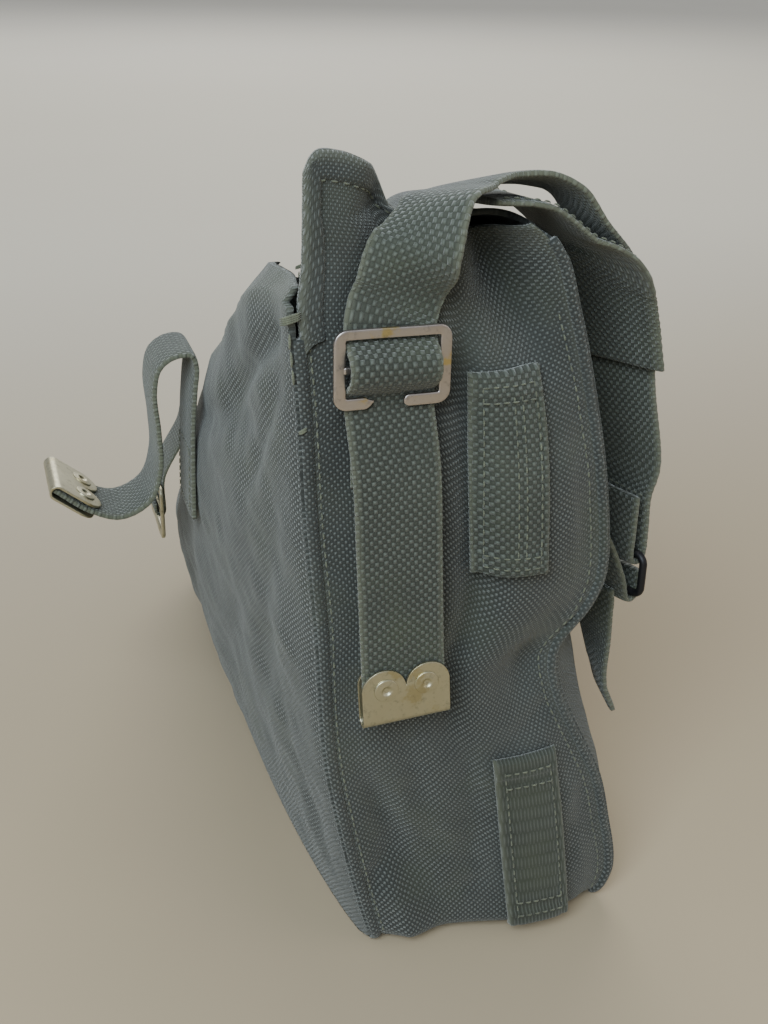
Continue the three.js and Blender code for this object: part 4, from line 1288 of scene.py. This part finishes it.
@dataclass
class WebPatches:
    """The two webbing patches sewn flat on the near side."""

    shape: BagShape
    body: CanvasBody
    width: float = 22.352
    thickness: float = 2.0
    gap: float = 0.8
    # x, lean, top and bottom, as shares of the depth and of the height
    upper: Tuple[float, ...] = (-0.116, 0.042, 0.89, 0.617)
    lower: Tuple[float, ...] = (0.041, 0.111, 0.324, 0.022)

    def face(self, patch: Tuple[float, ...], u: Array, v: Array) -> Array:
        """Places on the patch's underside: it lies on the highest of the cloth within 2.5 mm."""
        x0, lean, top, bottom = patch
        z = self.shape.height * (bottom + (top - bottom) * v)
        x = self.shape.depth * (x0 + lean * (1 - v)) + (u - 0.5) * self.width
        near = np.minimum.reduce([self.shape.near_face(x + d, z) for d in (-2.5, 0.0, 2.5)])
        return np.stack([x, near - self.gap, z], axis=-1)

    def wall(self, patch: Tuple[float, ...]) -> Sheeting:
        """One patch: an underside grid and an outer grid rounded off at all four edges."""
        u = (1 - np.cos(np.linspace(0, math.pi, 40))) / 2
        v = np.linspace(0, 1, 110)
        u, v = np.meshgrid(u, v)
        under = self.face(patch, u, v)
        length = self.shape.height * (patch[2] - patch[3])
        edge_u = np.clip(np.minimum(u, 1 - u) * self.width / 1.3, 0, 1)
        edge_v = np.clip(np.minimum(v, 1 - v) * length / 1.3, 0, 1)
        round_off = np.sqrt(1 - (1 - edge_u) ** 2) * 0.75 + 0.25
        round_off = round_off * (np.sqrt(1 - (1 - edge_v) ** 2) * 0.6 + 0.4)
        far_end = smoothstep(v, 1 - 7.5 / length, 1 - 6.5 / length)
        turned = 0.7 * (far_end + smoothstep(-v, -7.5 / length, -6.5 / length))
        dent = 0.35 * sum(np.exp(-(((u - c) * self.width / 1.0) ** 2)) for c in (0.13, 0.87))
        outer = under.copy()
        outer[..., 1] -= (self.thickness + turned - dent) * round_off
        wear = np.exp(-((np.minimum(u, 1 - u) * self.width / 1.0) ** 2))
        sheeting = Sheeting()
        add_wall(sheeting, under, outer, np.stack([(u - 0.5) * self.width, v * length], axis=-1), wear * 0.8)
        return sheeting

    def stitches(self) -> List[StitchRow]:
        """The patches' stitch columns and the rows that close their ends."""
        rows: List[StitchRow] = []
        for patch, columns, ends in (
            (self.upper, (0.15, 0.55, 0.66, 0.87), (0.05, 0.11, 0.87, 0.94)),
            (self.lower, (0.14, 0.86), (0.08, 0.16, 0.85, 0.93)),
        ):
            for c in columns:
                v = np.linspace(0.05, 0.95, 160)
                line = self.face(patch, np.full(160, c), v)
                line[:, 1] -= self.thickness + 0.15
                rows.append(StitchRow(line, np.tile([0.0, -1.0, 0.0], (160, 1)), 3.0, 2.2, 0.6))
            for e in ends:
                u = np.linspace(0.12, 0.88, 60)
                line = self.face(patch, u, np.full(60, e))
                line[:, 1] -= self.thickness + 0.75
                rows.append(StitchRow(line, np.tile([0.0, -1.0, 0.0], (60, 1)), 2.7, 2.1, 0.62))
        return rows

    def build(self, finishes: Finishes) -> List[bpy.types.Object]:
        """Builds and dresses both patches and their stitches."""
        return [
            dress(self.wall(self.upper).build("upper_patch"), finishes.webbing, "webbing", "upper_web_patch"),
            dress(self.wall(self.lower).build("lower_patch"), finishes.ribbed, "webbing", "lower_web_patch"),
            dress(stitch_mesh(self.stitches(), "patch_stitches"), finishes.thread, "webbing"),
        ]


@dataclass(frozen=True)
class WebSizes:
    """Sizes of the webbing and the metal on it."""

    web: float = 25.4
    webbing: float = 2.2
    band: float = 50.0
    chape_share: float = 0.8
    chape: float = 1.3
    seat_gap: float = 0.4
    bar: float = 3.3
    plate: float = 1.4
    middle_bar: float = 2.0
    window_gap: float = 0.35
    buckle_height: float = 22.5
    prong_gap: float = 8.5
    tip_length: float = 19.5
    tip_sheet: float = 0.8
    tip_slack: float = 0.75
    rivet_radius: float = 3.7
    ring_wire: float = 2.6
    ring_height: float = 17.0
    tail: float = 55.0

    @property
    def buckle_width(self) -> float:
        """The buckle's outer width, from the webbing it takes."""
        return self.web + 2 * (self.bar + self.window_gap)

    @property
    def lie_off(self) -> float:
        """How far the middle of a strap stands off the cloth it lies on."""
        return self.seat_gap + self.webbing / 2


def wrap(place: Callable[[float, float], Array], reach: float, half: float, turn: float) -> List[Array]:
    """Points of a line folded round a bar: it comes at -reach, turns past the bar and leaves at +reach.

    Args:
        place: A point from its distances out of and up from the bar.
        reach: Distance of the line from the bar's plane.
        half: Half the bar's height.
        turn: 1 over the bar's top, -1 under it.

    Returns:
        Five points.
    """
    slant = reach * math.sqrt(0.5)
    return [
        place(-reach, turn * half),
        place(-slant, turn * (half + slant)),
        place(0, turn * (half + reach)),
        place(slant, turn * (half + slant)),
        place(reach, turn * half),
    ]


def along_one(points: Sequence[Array], across: Array) -> List[Tuple[Array, Array]]:
    """Rows that all have one width direction."""
    return [(p, across) for p in points]


@dataclass
class MetalFrame:
    """A flat buckle frame, swept as one bar round its outline, with a bar across its middle."""

    centre: Array
    across: Array
    up: Array
    sizes: WebSizes
    prongs: bool

    def outline(self) -> Tuple[Array, Array]:
        """The bar's middle line and its width at each point.

        A rounded rectangle from one prong's end over the top to the other's, or all the way round.
        """
        s = self.sizes
        w = s.buckle_width / 2 - s.bar / 2
        h = s.buckle_height / 2 - s.bar / 2
        corner = 2.1
        left = -s.prong_gap * 0.62 if self.prongs else 0.0
        right = s.prong_gap * 0.38 if self.prongs else 0.0
        points: List[Tuple[float, float]] = [(left, -h)]
        for cx, cy, start in ((-w, -h, 270), (-w, h, 180), (w, h, 90), (w, -h, 0)):
            ox = cx + corner * (1 if cx < 0 else -1)
            oy = cy + corner * (1 if cy < 0 else -1)
            for k in range(9):
                a = math.radians(start - 90 * k / 8)
                points.append((ox + corner * math.cos(a), oy + corner * math.sin(a)))
        points.append((right, -h))
        flat = np.array([(x, y, 0.0) for x, y in points])
        run = arc_lengths(flat)
        places = np.arange(0, run[-1] + 1e-6, 0.35)
        line = resample(flat, places)
        if self.prongs:
            line[:, 1] += 0.5 * np.exp(-((places / 1.2) ** 2))
            tip_left = np.clip(places / 2.2, 0.12, 1.0) ** 0.8
            tip_right = np.sqrt(1 - (1 - np.clip((run[-1] - places) / 1.6 + 0.04, 0, 1)) ** 2)
            width = tip_left * tip_right
        else:
            width = np.ones(len(places))
        top = np.clip((line[:, 1] - h * 0.7) / (h * 0.3), 0, 1)
        return line, width * (1 - 0.15 * top)

    def build(self) -> Sheeting:
        """The frame's bar and its middle bar."""
        s = self.sizes
        line, width = self.outline()
        up = unit(self.up - self.across * float(self.up @ self.across))
        out = np.cross(self.across, up)
        centre = self.centre + line[:, :1] * self.across + line[:, 1:2] * up
        along = unit(np.gradient(line, axis=0))
        side = np.stack([along[:, 1], -along[:, 0]], axis=1)
        wide = (side[:, :1] * self.across + side[:, 1:] * up) * width[:, None]
        bow = 0.15 * np.sin(line[:, :1] * 0.2) * out
        sheeting = Sheeting()
        normal = np.tile(out, (len(centre), 1))
        add_sweep(sheeting, centre + bow, wide, normal, webbing_profile(s.bar, s.plate, 28, 0.3), True)
        reach = s.buckle_width / 2 - s.bar * 0.8
        places = np.linspace(-reach, reach, 40)[:, None]
        bar = self.centre + places * self.across
        count = len(places)
        profile = webbing_profile(s.middle_bar, s.plate, 20, 0.4)
        add_sweep(sheeting, bar, np.tile(up, (count, 1)), np.tile(out, (count, 1)), profile)
        return sheeting


@dataclass
class BrassTip:
    """A brass end: sheet folded round the strap's end, two-lobed, held by two eyelets."""

    end: Array
    following: Array
    across: Array
    sizes: WebSizes

    def axes(self) -> Tuple[Array, Array, Array, Array]:
        """The tip's origin and its across, along and outward directions."""
        along = unit(self.following - self.end)
        x = unit(self.across - along * float(self.across @ along))
        origin = self.end - along * (self.sizes.tip_sheet + self.sizes.seat_gap)
        return origin, x, along, np.cross(x, along)

    def sheet(self) -> Sheeting:
        """The folded sheet.

        Across u and along the fold s: for |s| under 0.2 a half circle round the end, beyond
        that flat up to the edge, whose height is the two lobes' half circles.
        """
        s = self.sizes
        origin, x, along, out = self.axes()
        width = s.web + 2 * s.tip_sheet
        thick = s.webbing + 2 * (s.tip_sheet + s.tip_slack)
        lobe = width / 4
        u = np.linspace(-1, 1, 91)[None, :] * width / 2
        middle = np.linspace(-0.2, 0.2, 25)[1:-1]
        fold = np.concatenate([np.linspace(-1, -0.2, 24), middle, np.linspace(0.2, 1, 24)])
        u, fold = np.broadcast_arrays(u, fold[:, None])
        reach = np.sqrt(np.maximum(lobe**2 - (np.abs(u) - lobe) ** 2, 0.0))
        top = s.tip_length - lobe + np.maximum(reach, 0.6)
        angle = np.clip(fold / 0.2, -1, 1) * math.pi / 2
        beyond = np.clip((np.abs(fold) - 0.2) / 0.8, 0, 1)
        bulge = 0.22 * np.cos(u / width * math.pi) * np.sin(beyond * math.pi)

        def face(radius: float) -> Array:
            """The sheet's face at a distance from the fold's middle line."""
            height = thick / 2 - radius * np.cos(angle) + (top - thick / 2) * beyond
            depth = -np.sin(angle) * (radius + bulge * (fold < 0))
            return origin + u[..., None] * x + height[..., None] * along + depth[..., None] * out

        sheeting = Sheeting()
        flat = np.stack([u, fold * s.tip_length], axis=-1)
        add_wall(sheeting, face(thick / 2 - s.tip_sheet), face(thick / 2), flat)
        return sheeting

    def rivet(self, share: float) -> Sheeting:
        """An eyelet: a profile turned about its axis, a flat ring with a deep middle dimple."""
        s = self.sizes
        origin, x, along, out = self.axes()
        width = s.web + 2 * s.tip_sheet
        thick = s.webbing + 2 * (s.tip_sheet + s.tip_slack)
        centre = origin + x * share * width * 0.92 + along * s.tip_length * 0.66 + out * (thick / 2 + 0.05)
        radii = (0.05, 0.7, 1.15, 1.5, 1.9, 2.6, 3.2, 3.55, 3.7, 3.7, 0.05)
        heights = (0.02, 0.05, 0.3, 0.62, 0.72, 0.62, 0.55, 0.5, 0.3, 0.0, 0.0)
        place = np.linspace(0, 1, len(radii))
        t = np.linspace(0, 1, 46)
        r = np.interp(t, place, radii) / 3.7 * s.rivet_radius
        h = np.interp(t, place, heights)
        turn = np.arange(48) / 48 * 2 * math.pi
        points = (
            centre
            + (r[:, None] * np.cos(turn))[..., None] * x
            + (r[:, None] * np.sin(turn))[..., None] * along
            + (h[:, None] + 0 * turn)[..., None] * out
        )
        sheeting = Sheeting()
        flat = np.stack([r[:, None] * np.cos(turn), r[:, None] * np.sin(turn)], axis=-1)
        sheeting.add(points, grid_quads(len(t), 48, loop=True), flat)
        return sheeting

    def build(self, name: str, node: str, finishes: Finishes) -> List[bpy.types.Object]:
        """Builds and dresses the tip and its eyelets."""
        shell = dress(self.sheet().build(name), finishes.brass, "tip_brass", node)
        bevel = shell.modifiers.new("rounded edges", "BEVEL")
        bevel.width = 0.25 * METRE
        bevel.segments = 2
        bevel.limit_method = "ANGLE"
        made = [shell]
        for label, share in (("left", -0.25), ("right", 0.25)):
            rivet = self.rivet(share).build(f"{name}_eyelet_{label}")
            made.append(dress(rivet, finishes.brass, "tip_brass", f"{node}_rivet_{label}"))
        return made


def web_piece(
    strip: Strip, name: str, finishes: Finishes, node: str, spacing: float = 0.9
) -> bpy.types.Object:
    """A strip of webbing: its rounded section carried along its centre line."""
    centre, wide, normal = strip.sample(spacing)
    sheeting = Sheeting()
    wobble = 1.0 + 0.006 * np.sin(arc_lengths(centre) * 2 * math.pi / 3.0)
    profile = webbing_profile(strip.width, strip.thickness, 44, 0.36)
    add_sweep(sheeting, centre, wide * wobble[:, None], normal, profile, True)
    return dress(sheeting.build(name), finishes.webbing, "webbing", node)


@dataclass
class ShoulderSling:
    """The strap over the side's top, its buckle and chape, the band it is sewn on, and its tip."""

    shape: BagShape
    sizes: WebSizes

    def __post_init__(self) -> None:
        """Works out the buckle's place and the strips' rows, as the CAD source does."""
        shape, s = self.shape, self.sizes
        self.buckle_x = -0.533 * shape.depth
        self.buckle_z = 0.915 * shape.height
        self.buckle_y = shape.seat(self.buckle_x, self.buckle_z, s.buckle_width, 7.2)
        bar_reach = (s.plate + s.webbing) / 2 + s.seat_gap
        chape_reach = (s.plate + s.chape) / 2 + s.seat_gap
        over = chape_reach + (s.chape + s.webbing) / 2 + s.seat_gap
        upper = s.buckle_height / 2 - s.bar * 0.85
        lower = s.buckle_height / 2 - s.bar
        by = self.by_buckle
        sideways = np.array([1.0, 0.0, 0.0])
        half = shape.half
        chape_width = s.web * s.chape_share
        chape_points = [self.chape_seat(self.buckle_z - s.buckle_height * k, chape_width) for k in (1.6, 1.0)]
        chape_points += [by(-over - s.seat_gap, -lower), *wrap(by, chape_reach, s.middle_bar / 2, 1)]
        chape_points.append(by(chape_reach, -s.middle_bar / 2))
        self.chape = strip_of(along_one(chape_points, sideways), chape_width, s.chape)
        band_rows = [
            (shape.at(-0.16, -half + 25, 1.072), direction(0, -1, 0.15)),
            (shape.at(0.05, -half + 25, 1.066), direction(0, -1, 0.1)),
            (shape.at(0.2, -half + 25, 1.03), direction(0.1, -1, 0)),
            (shape.at(0.304, -half + 25, 0.998), direction(0.3, -0.95, 0.02)),
            (shape.at(0.357, -half + 29, 0.96), direction(0.38, -0.92, 0.06)),
            (shape.at(0.4, -half + 31, 0.91), direction(0.38, -0.9, 0.15)),
            (shape.at(0.452, -half + 32, 0.84), direction(0.3, -0.87, 0.35)),
        ]
        self.band = strip_of(band_rows, s.band, s.webbing)
        shift = 0.32 * (s.band - s.web) / 2
        lift = s.webbing + s.seat_gap * 3.2
        tail = ((-0.471, 0.441), (-0.483, 0.513), (-0.503, 0.67), (-0.517, 0.785))
        first = [self.tail_place(x, z) for x, z in tail]
        first += [
            by(-bar_reach, -s.buckle_height / 2),
            by(-bar_reach, -lower + s.seat_gap),
            by(0.2 * over, -0.65 * lower),
            by(over, -s.middle_bar),
            by(over, s.middle_bar),
            by(0, upper - bar_reach * 1.4),
            by(-bar_reach - s.seat_gap * 1.5, upper - s.seat_gap * 2.5),
            by(-bar_reach - s.seat_gap * 1.5, s.buckle_height / 2 + s.seat_gap),
            shape.at(-0.5, -half - 5.5, 0.995),
        ]
        rows = along_one(first, sideways) + [
            (shape.at(-0.452, -half - 9, 1.055), direction(0.72, -0.68, 0.12)),
            (shape.at(-0.385, -half - 5, 1.097), direction(0.42, -0.9, 0.14)),
            (shape.at(-0.27, -half + 4.4, 1.103), direction(0.2, -0.95, 0.2)),
            (shape.at(-0.13, -half + 12, 1.104), direction(0.04, -1, 0.28)),
            (shape.at(0.03, -half + 13.2, 1.103), direction(0, -1, 0.28)),
            (shape.at(0.13, -half + 13.5, 1.09), direction(0, -1, 0.22)),
            (shape.at(0.235, -half + 16, 1.056), direction(0.08, -1, 0.02)),
            self.lie_on(band_rows, 3, shift, lift),
            self.lie_on(band_rows, 4, shift, lift),
        ]
        self.strap = strip_of(rows, s.web, s.webbing)

    def by_buckle(self, out: float, rise: float) -> Array:
        """A place from its distances out of and up from the buckle's middle."""
        return np.array([self.buckle_x, self.buckle_y - out, self.buckle_z + rise])

    def chape_seat(self, z: float, width: float) -> Array:
        """A place of the chape's middle on the cloth."""
        y = self.shape.seat(self.buckle_x, z, width, self.sizes.seat_gap + self.sizes.chape / 2)
        return np.array([self.buckle_x, y, z])

    def tail_place(self, x: float, z: float) -> Array:
        """A place of the hanging tail's middle, 7 mm off the cloth."""
        y = self.shape.seat(x * self.shape.depth, z * self.shape.height, self.sizes.web, 7.0)
        return self.shape.at(x, y, z)

    @staticmethod
    def lie_on(rows: Sequence[Tuple[Array, Array]], i: int, shift: float, lift: float) -> Tuple[Array, Array]:
        """A row that lies on another strip's row, moved across it and lifted off it."""
        run = unit(rows[min(i + 1, len(rows) - 1)][0] - rows[i - 1][0])
        across = unit(rows[i][1] - run * float(rows[i][1] @ run))
        return rows[i][0] + across * shift + np.cross(across, run) * lift, across

    def stitches(self) -> List[StitchRow]:
        """The box of stitches that holds the strap on the band, and the chape's rows."""
        s = self.sizes
        lift = s.webbing / 2 + 0.15
        rows = []
        for share in (-0.38, 0.38):
            rows.append(StitchRow(*self.strap.rows(share, self.length() - 24, -2.5, lift), 2.8, 2.1, 0.6))
        for run in (-3.0, -23.0):
            rows.append(StitchRow(*self.strap.crossing(run, -0.4, 0.4, lift), 2.6, 2.0, 0.6))
        for share in (-0.44, 0.44):
            rows.append(StitchRow(*self.band.rows(share, 2.0, -2.0, lift), 3.0, 2.2, 0.6))
        return rows

    def length(self) -> float:
        """The strap's length in millimetres."""
        return float(arc_lengths(self.strap.sample(0.5)[0])[-1])

    def build(self, finishes: Finishes) -> List[bpy.types.Object]:
        """Builds and dresses the sling's pieces."""
        s = self.sizes
        frame_piece = MetalFrame(self.by_buckle(0, 0), np.array([1.0, 0, 0]), np.array([0, 0, 1.0]), s, True)
        tip = BrassTip(self.strap.places[0], self.strap.places[1], np.array([1.0, 0, 0]), s)
        return [
            dress(frame_piece.build().build("sling_buckle"), finishes.buckle, "buckle_metal", "strap_buckle"),
            web_piece(self.chape, "sling_buckle_chape", finishes, "buckle_chape"),
            web_piece(self.band, "sling_band", finishes, "shoulder_band"),
            web_piece(self.strap, "sling_strap", finishes, "shoulder_strap", 0.75),
            dress(stitch_mesh(self.stitches(), "sling_stitches"), finishes.thread, "webbing"),
            *tip.build("sling_tip", "strap_tip", finishes),
        ]


@dataclass
class RearHardware:
    """The rear strap folded round its dark ring, the chape that holds the ring, and a loose tail."""

    shape: BagShape
    sizes: WebSizes

    def __post_init__(self) -> None:
        """Works out the ring's place and the strips' rows, as the CAD source does."""
        shape, s = self.shape, self.sizes
        half = shape.half
        self.across = direction(0.35, -0.94, 0)
        self.out = np.cross(self.across, np.array([0, 0, 1.0]))
        self.centre = shape.at(0.54, -half + 26, 0.53)
        self.ring_width = s.web + 2 * s.ring_wire + 2
        reach = s.ring_wire / 2 + s.seat_gap * 1.5 + s.webbing / 2
        top = (s.ring_height - s.ring_wire) / 2
        by = self.by_ring
        rows = [
            (shape.at(0.505, -half + 28, 0.872), direction(0.4, -0.9, 0)),
            (shape.at(0.525, -half + 27, 0.8), direction(0.45, -0.88, 0)),
            (shape.at(0.57, -half + 26, 0.7), direction(0.5, -0.86, 0)),
        ]
        points = [by(-reach, top + 22), by(-reach, top + 8)]
        points += wrap(lambda out, rise: by(out, top + rise), reach, 0, -1)
        points += [by(reach, top + 8), by(reach, top + 21)]
        self.strap = strip_of(rows + along_one(points, self.across), s.web, s.webbing)
        seats = [self.back_seat(-half + 28, shape.height * rise) for rise in (0.81, 0.74, 0.62)]
        under = [by(reach + s.webbing + s.seat_gap * 3.4, 2)]
        under += wrap(lambda out, rise: by(-out, rise - top), reach, 0, -1)
        under.append(by(-reach, 7 - top))
        chape_rows = along_one(seats, direction(0.02, -1, 0)) + along_one(under, self.across)
        self.chape = strip_of(chape_rows, s.web * 0.94, s.webbing)
        turned = direction(-0.15, -0.99, 0)
        self.tail = strip_of([
            (by(reach + s.webbing + s.seat_gap * 4.5, -s.tail * 0.1), self.across),
            (by(reach + s.webbing + s.seat_gap * 3, -s.tail * 0.24), self.across),
            (by(reach + s.seat_gap, -s.tail * 0.48), direction(0.1, -0.99, 0)),
            (by(s.seat_gap, -s.tail * 0.76), turned),
            (by(-reach - s.webbing, -s.tail), turned),
        ], s.web * 0.75, s.webbing)

    def by_ring(self, out: float, rise: float) -> Array:
        """A place from its distances out of and up from the ring's middle."""
        return self.centre + self.out * out + np.array([0, 0, rise])

    def back_seat(self, y: float, z: float) -> Array:
        """A place of a strap's middle on the back's cloth."""
        shares = np.array([-0.5, 0, 0.5]) * self.sizes.web
        x = float(np.max(self.shape.back_x(y + shares, np.full(3, z))))
        return np.array([x + self.shape.canvas + self.sizes.lie_off, y, z])

    def ring(self) -> Sheeting:
        """The ring: a round wire carried round a rounded rectangle."""
        s = self.sizes
        w, h = (self.ring_width - s.ring_wire) / 2, (s.ring_height - s.ring_wire) / 2
        corner = s.ring_wire * 1.2
        angle = np.arange(48) / 48 * 2 * math.pi
        x = np.sign(np.cos(angle)) * (w - corner) + corner * np.cos(angle)
        z = np.sign(np.sin(angle)) * (h - corner) + corner * np.sin(angle)
        centre = self.centre + x[:, None] * self.across + z[:, None] * np.array([0, 0, 1.0])
        wide = np.cos(angle)[:, None] * self.across + np.sin(angle)[:, None] * np.array([0, 0, 1.0])
        sheeting = Sheeting()
        normal = np.tile(self.out, (len(centre), 1))
        add_sweep(sheeting, centre, wide, normal, round_profile(s.ring_wire, s.ring_wire, 16), closed=True)
        return sheeting

    def stitches(self) -> List[StitchRow]:
        """The rows that close the strap's fold, and the tail's edge rows."""
        s = self.sizes
        lift = s.webbing / 2 + 0.15
        total = float(arc_lengths(self.strap.sample(0.5)[0])[-1])
        fold = total - 29.0
        rows = []
        for run in (fold - 14.0, fold - 18.0, fold - 22.0):
            rows.append(StitchRow(*self.strap.crossing(run, -0.42, 0.42, -lift), 2.6, 2.0, 0.6))
        for run in (total - 5.0, total - 12.0):
            rows.append(StitchRow(*self.strap.crossing(run, -0.42, 0.42, -lift), 2.6, 2.0, 0.6))
        return rows

    def build(self, finishes: Finishes) -> List[bpy.types.Object]:
        """Builds and dresses the rear pieces."""
        return [
            web_piece(self.strap, "rear_web", finishes, "rear_strap"),
            web_piece(self.chape, "rear_ring_chape", finishes, "rear_chape"),
            web_piece(self.tail, "rear_loose_tail", finishes, "rear_tail"),
            dress(self.ring().build("rear_dark_ring"), finishes.dark, "dark_metal", "rear_ring"),
            dress(stitch_mesh(self.stitches(), "rear_stitches"), finishes.thread, "webbing"),
        ]


@dataclass
class ClosingGear:
    """The loose closing strap with its brass tip, and the front buckle on its chape."""

    shape: BagShape
    sizes: WebSizes

    def __post_init__(self) -> None:
        """Works out the strips' rows, as the CAD source does."""
        shape, s = self.shape, self.sizes
        self.across = np.array([0.0, -1.0, 0.0])
        self.y = -0.114 * shape.width
        loop = (
            (-1.552, 0.597), (-1.412, 0.556), (-1.288, 0.54), (-1.165, 0.562),
            (-1.115, 0.611), (-1.113, 0.67), (-1.122, 0.735), (-1.096, 0.772),
            (-1.035, 0.788), (-0.966, 0.788), (-0.948, 0.77), (-0.958, 0.732))
        points = [shape.at(x, self.y, z) for x, z in loop]
        points.append(self.front_seat(self.y, shape.height * 0.68, s.lie_off + 0.6))
        points += [self.front_seat(self.y, shape.height * z, s.lie_off) for z in (0.607, 0.524)]
        self.strap = strip_of(along_one(points, self.across), s.web, s.webbing)
        y = 0.08 * shape.width
        self.buckle_at = np.array([-1.04 * shape.depth, y, 0.43 * shape.height])
        reach = (s.plate + s.chape) / 2 + s.seat_gap
        by = self.by_buckle
        chape = [self.front_seat(y, shape.height * z, s.chape / 2) for z in (0.62, 0.59, 0.565)]
        chape += [by(-reach - s.seat_gap, s.buckle_height / 2 + s.middle_bar), by(-reach, s.middle_bar)]
        chape += [*wrap(by, reach, s.middle_bar / 2, -1), by(reach, s.middle_bar)]
        self.chape = strip_of(along_one(chape, self.across), s.web * s.chape_share, s.chape)

    def by_buckle(self, out: float, rise: float) -> Array:
        """A place from its distances out of and up from the front buckle's middle."""
        return self.buckle_at + np.array([-out, 0, rise])

    def front_seat(self, y: float, z: float, stand: float) -> Array:
        """A place of a strap's middle on the front's cloth."""
        over = y + np.array([-0.5, 0, 0.5]) * self.sizes.web
        x = float(np.min(self.shape.front_x(over, self.shape.unsink(over, np.full(3, z)))))
        return np.array([x - self.shape.canvas - stand, y, z])

    def stitches(self) -> List[StitchRow]:
        """The box of stitches at the closing strap's sewn end."""
        lift = -(self.sizes.webbing / 2 + 0.15)
        total = float(arc_lengths(self.strap.sample(0.5)[0])[-1])
        rows = []
        for run in (-3.0, -26.0):
            rows.append(StitchRow(*self.strap.crossing(run, -0.42, 0.42, lift), 2.6, 2.0, 0.6))
        for share in (-0.4, 0.4):
            rows.append(StitchRow(*self.strap.rows(share, total - 26, -3.0, lift), 2.8, 2.1, 0.6))
        return rows

    def build(self, finishes: Finishes) -> List[bpy.types.Object]:
        """Builds and dresses the closing gear."""
        s = self.sizes
        tip = BrassTip(self.strap.places[0], self.strap.places[1], self.across, s)
        metal = MetalFrame(self.buckle_at, self.across, np.array([0, 0, 1.0]), s, False)
        return [
            web_piece(self.strap, "closing_web", finishes, "closing_strap", 0.75),
            *tip.build("closing_brass_tip", "closing_tip", finishes),
            web_piece(self.chape, "front_buckle_chape", finishes, "front_chape"),
            dress(metal.build().build("front_brass_buckle"), finishes.brass, "tip_brass", "front_buckle"),
            dress(stitch_mesh(self.stitches(), "closing_stitches"), finishes.thread, "webbing"),
        ]


# The studio


@dataclass(frozen=True)
class Studio:
    """The floor, the lights and the camera, which stands at the photograph's angle."""

    azimuth: float = -18.0
    elevation: float = 25.5
    roll: float = 1.3
    lens: float = 45.7
    distance: float = 374.0
    target: Tuple[float, float, float] = (-43.0, -140.0, 162.0)

    def camera(self) -> None:
        """Places the camera: behind the target along the view, rolled a little."""
        a, e, r = (math.radians(v) for v in (self.azimuth, self.elevation, self.roll))
        ahead = np.array([-math.sin(a) * math.cos(e), math.cos(a) * math.cos(e), -math.sin(e)])
        right = np.array([math.cos(a), math.sin(a), 0.0])
        up = np.array([-math.sin(a) * math.sin(e), math.cos(a) * math.sin(e), math.cos(e)])
        right2 = math.cos(r) * right + math.sin(r) * up
        up2 = math.cos(r) * up - math.sin(r) * right
        eye = np.array(self.target) - ahead * self.distance
        data = bpy.data.cameras.new("camera")
        data.lens = self.lens
        data.sensor_width = 36.0
        data.clip_start = 0.01
        camera = bpy.data.objects.new("camera", data)
        turn = Matrix((right2, up2, -ahead)).transposed().to_4x4()
        camera.matrix_world = Matrix.Translation(Vector(eye * METRE)) @ turn
        bpy.context.scene.collection.objects.link(camera)
        bpy.context.scene.camera = camera

    def floor(self) -> None:
        """A wide plain floor, just under the bag."""
        reach = 6.0
        mesh = bpy.data.meshes.new("floor")
        below = -0.0002
        corners = [(x * reach, y * reach, below) for x, y in ((-1, -1), (1, -1), (1, 1), (-1, 1))]
        mesh.from_pydata(corners, [], [(0, 1, 2, 3)])
        plane = bpy.data.objects.new("floor", mesh)
        plane.data.materials.append(FloorFinish().material())
        bpy.context.scene.collection.objects.link(plane)

    def light(
        self, name: str, place: Sequence[float], size: float, power: float, colour: Sequence[float]
    ) -> None:
        """One soft area light aimed at the bag's middle."""
        data = bpy.data.lights.new(name, "AREA")
        data.size = size
        data.energy = power
        data.color = colour
        lamp = bpy.data.objects.new(name, data)
        lamp.location = place
        aim = Vector((0.0, -0.05, 0.13)) - Vector(place)
        lamp.rotation_euler = aim.to_track_quat("-Z", "Y").to_euler()
        bpy.context.scene.collection.objects.link(lamp)

    def build(self) -> None:
        """Sets up the whole studio."""
        self.camera()
        self.floor()
        world = bpy.data.worlds.new("studio")
        world.use_nodes = True
        background = world.node_tree.nodes["Background"]
        background.inputs[0].default_value = (0.9, 0.91, 0.93, 1.0)
        background.inputs[1].default_value = 0.46
        bpy.context.scene.world = world
        self.light("window", (-0.52, -0.78, 0.78), 0.6, 13.5, (0.82, 0.92, 1.0))
        self.light("fill", (1.6, -1.1, 0.9), 1.4, 6.0, (1.0, 0.88, 0.74))
        self.light("back", (0.6, 2.2, 2.0), 2.0, 50.0, (1.0, 0.98, 0.95))


def main() -> None:
    """Builds the studio and each sub-assembly in order, and reports each piece."""
    logging.basicConfig(level=logging.INFO, format="%(name)s: %(message)s")
    Studio().build()
    finishes = Finishes.make()
    shape, sizes = BagShape(), WebSizes()
    body = CanvasBody(shape)
    for assembly in (
        body,
        Seams(shape, body),
        WebPatches(shape, body),
        ShoulderSling(shape, sizes),
        RearHardware(shape, sizes),
        ClosingGear(shape, sizes),
    ):
        pieces = assembly.build(finishes)
        log.info("%s: %d pieces", type(assembly).__name__, len(pieces))


if __name__ == "__main__":
    main()
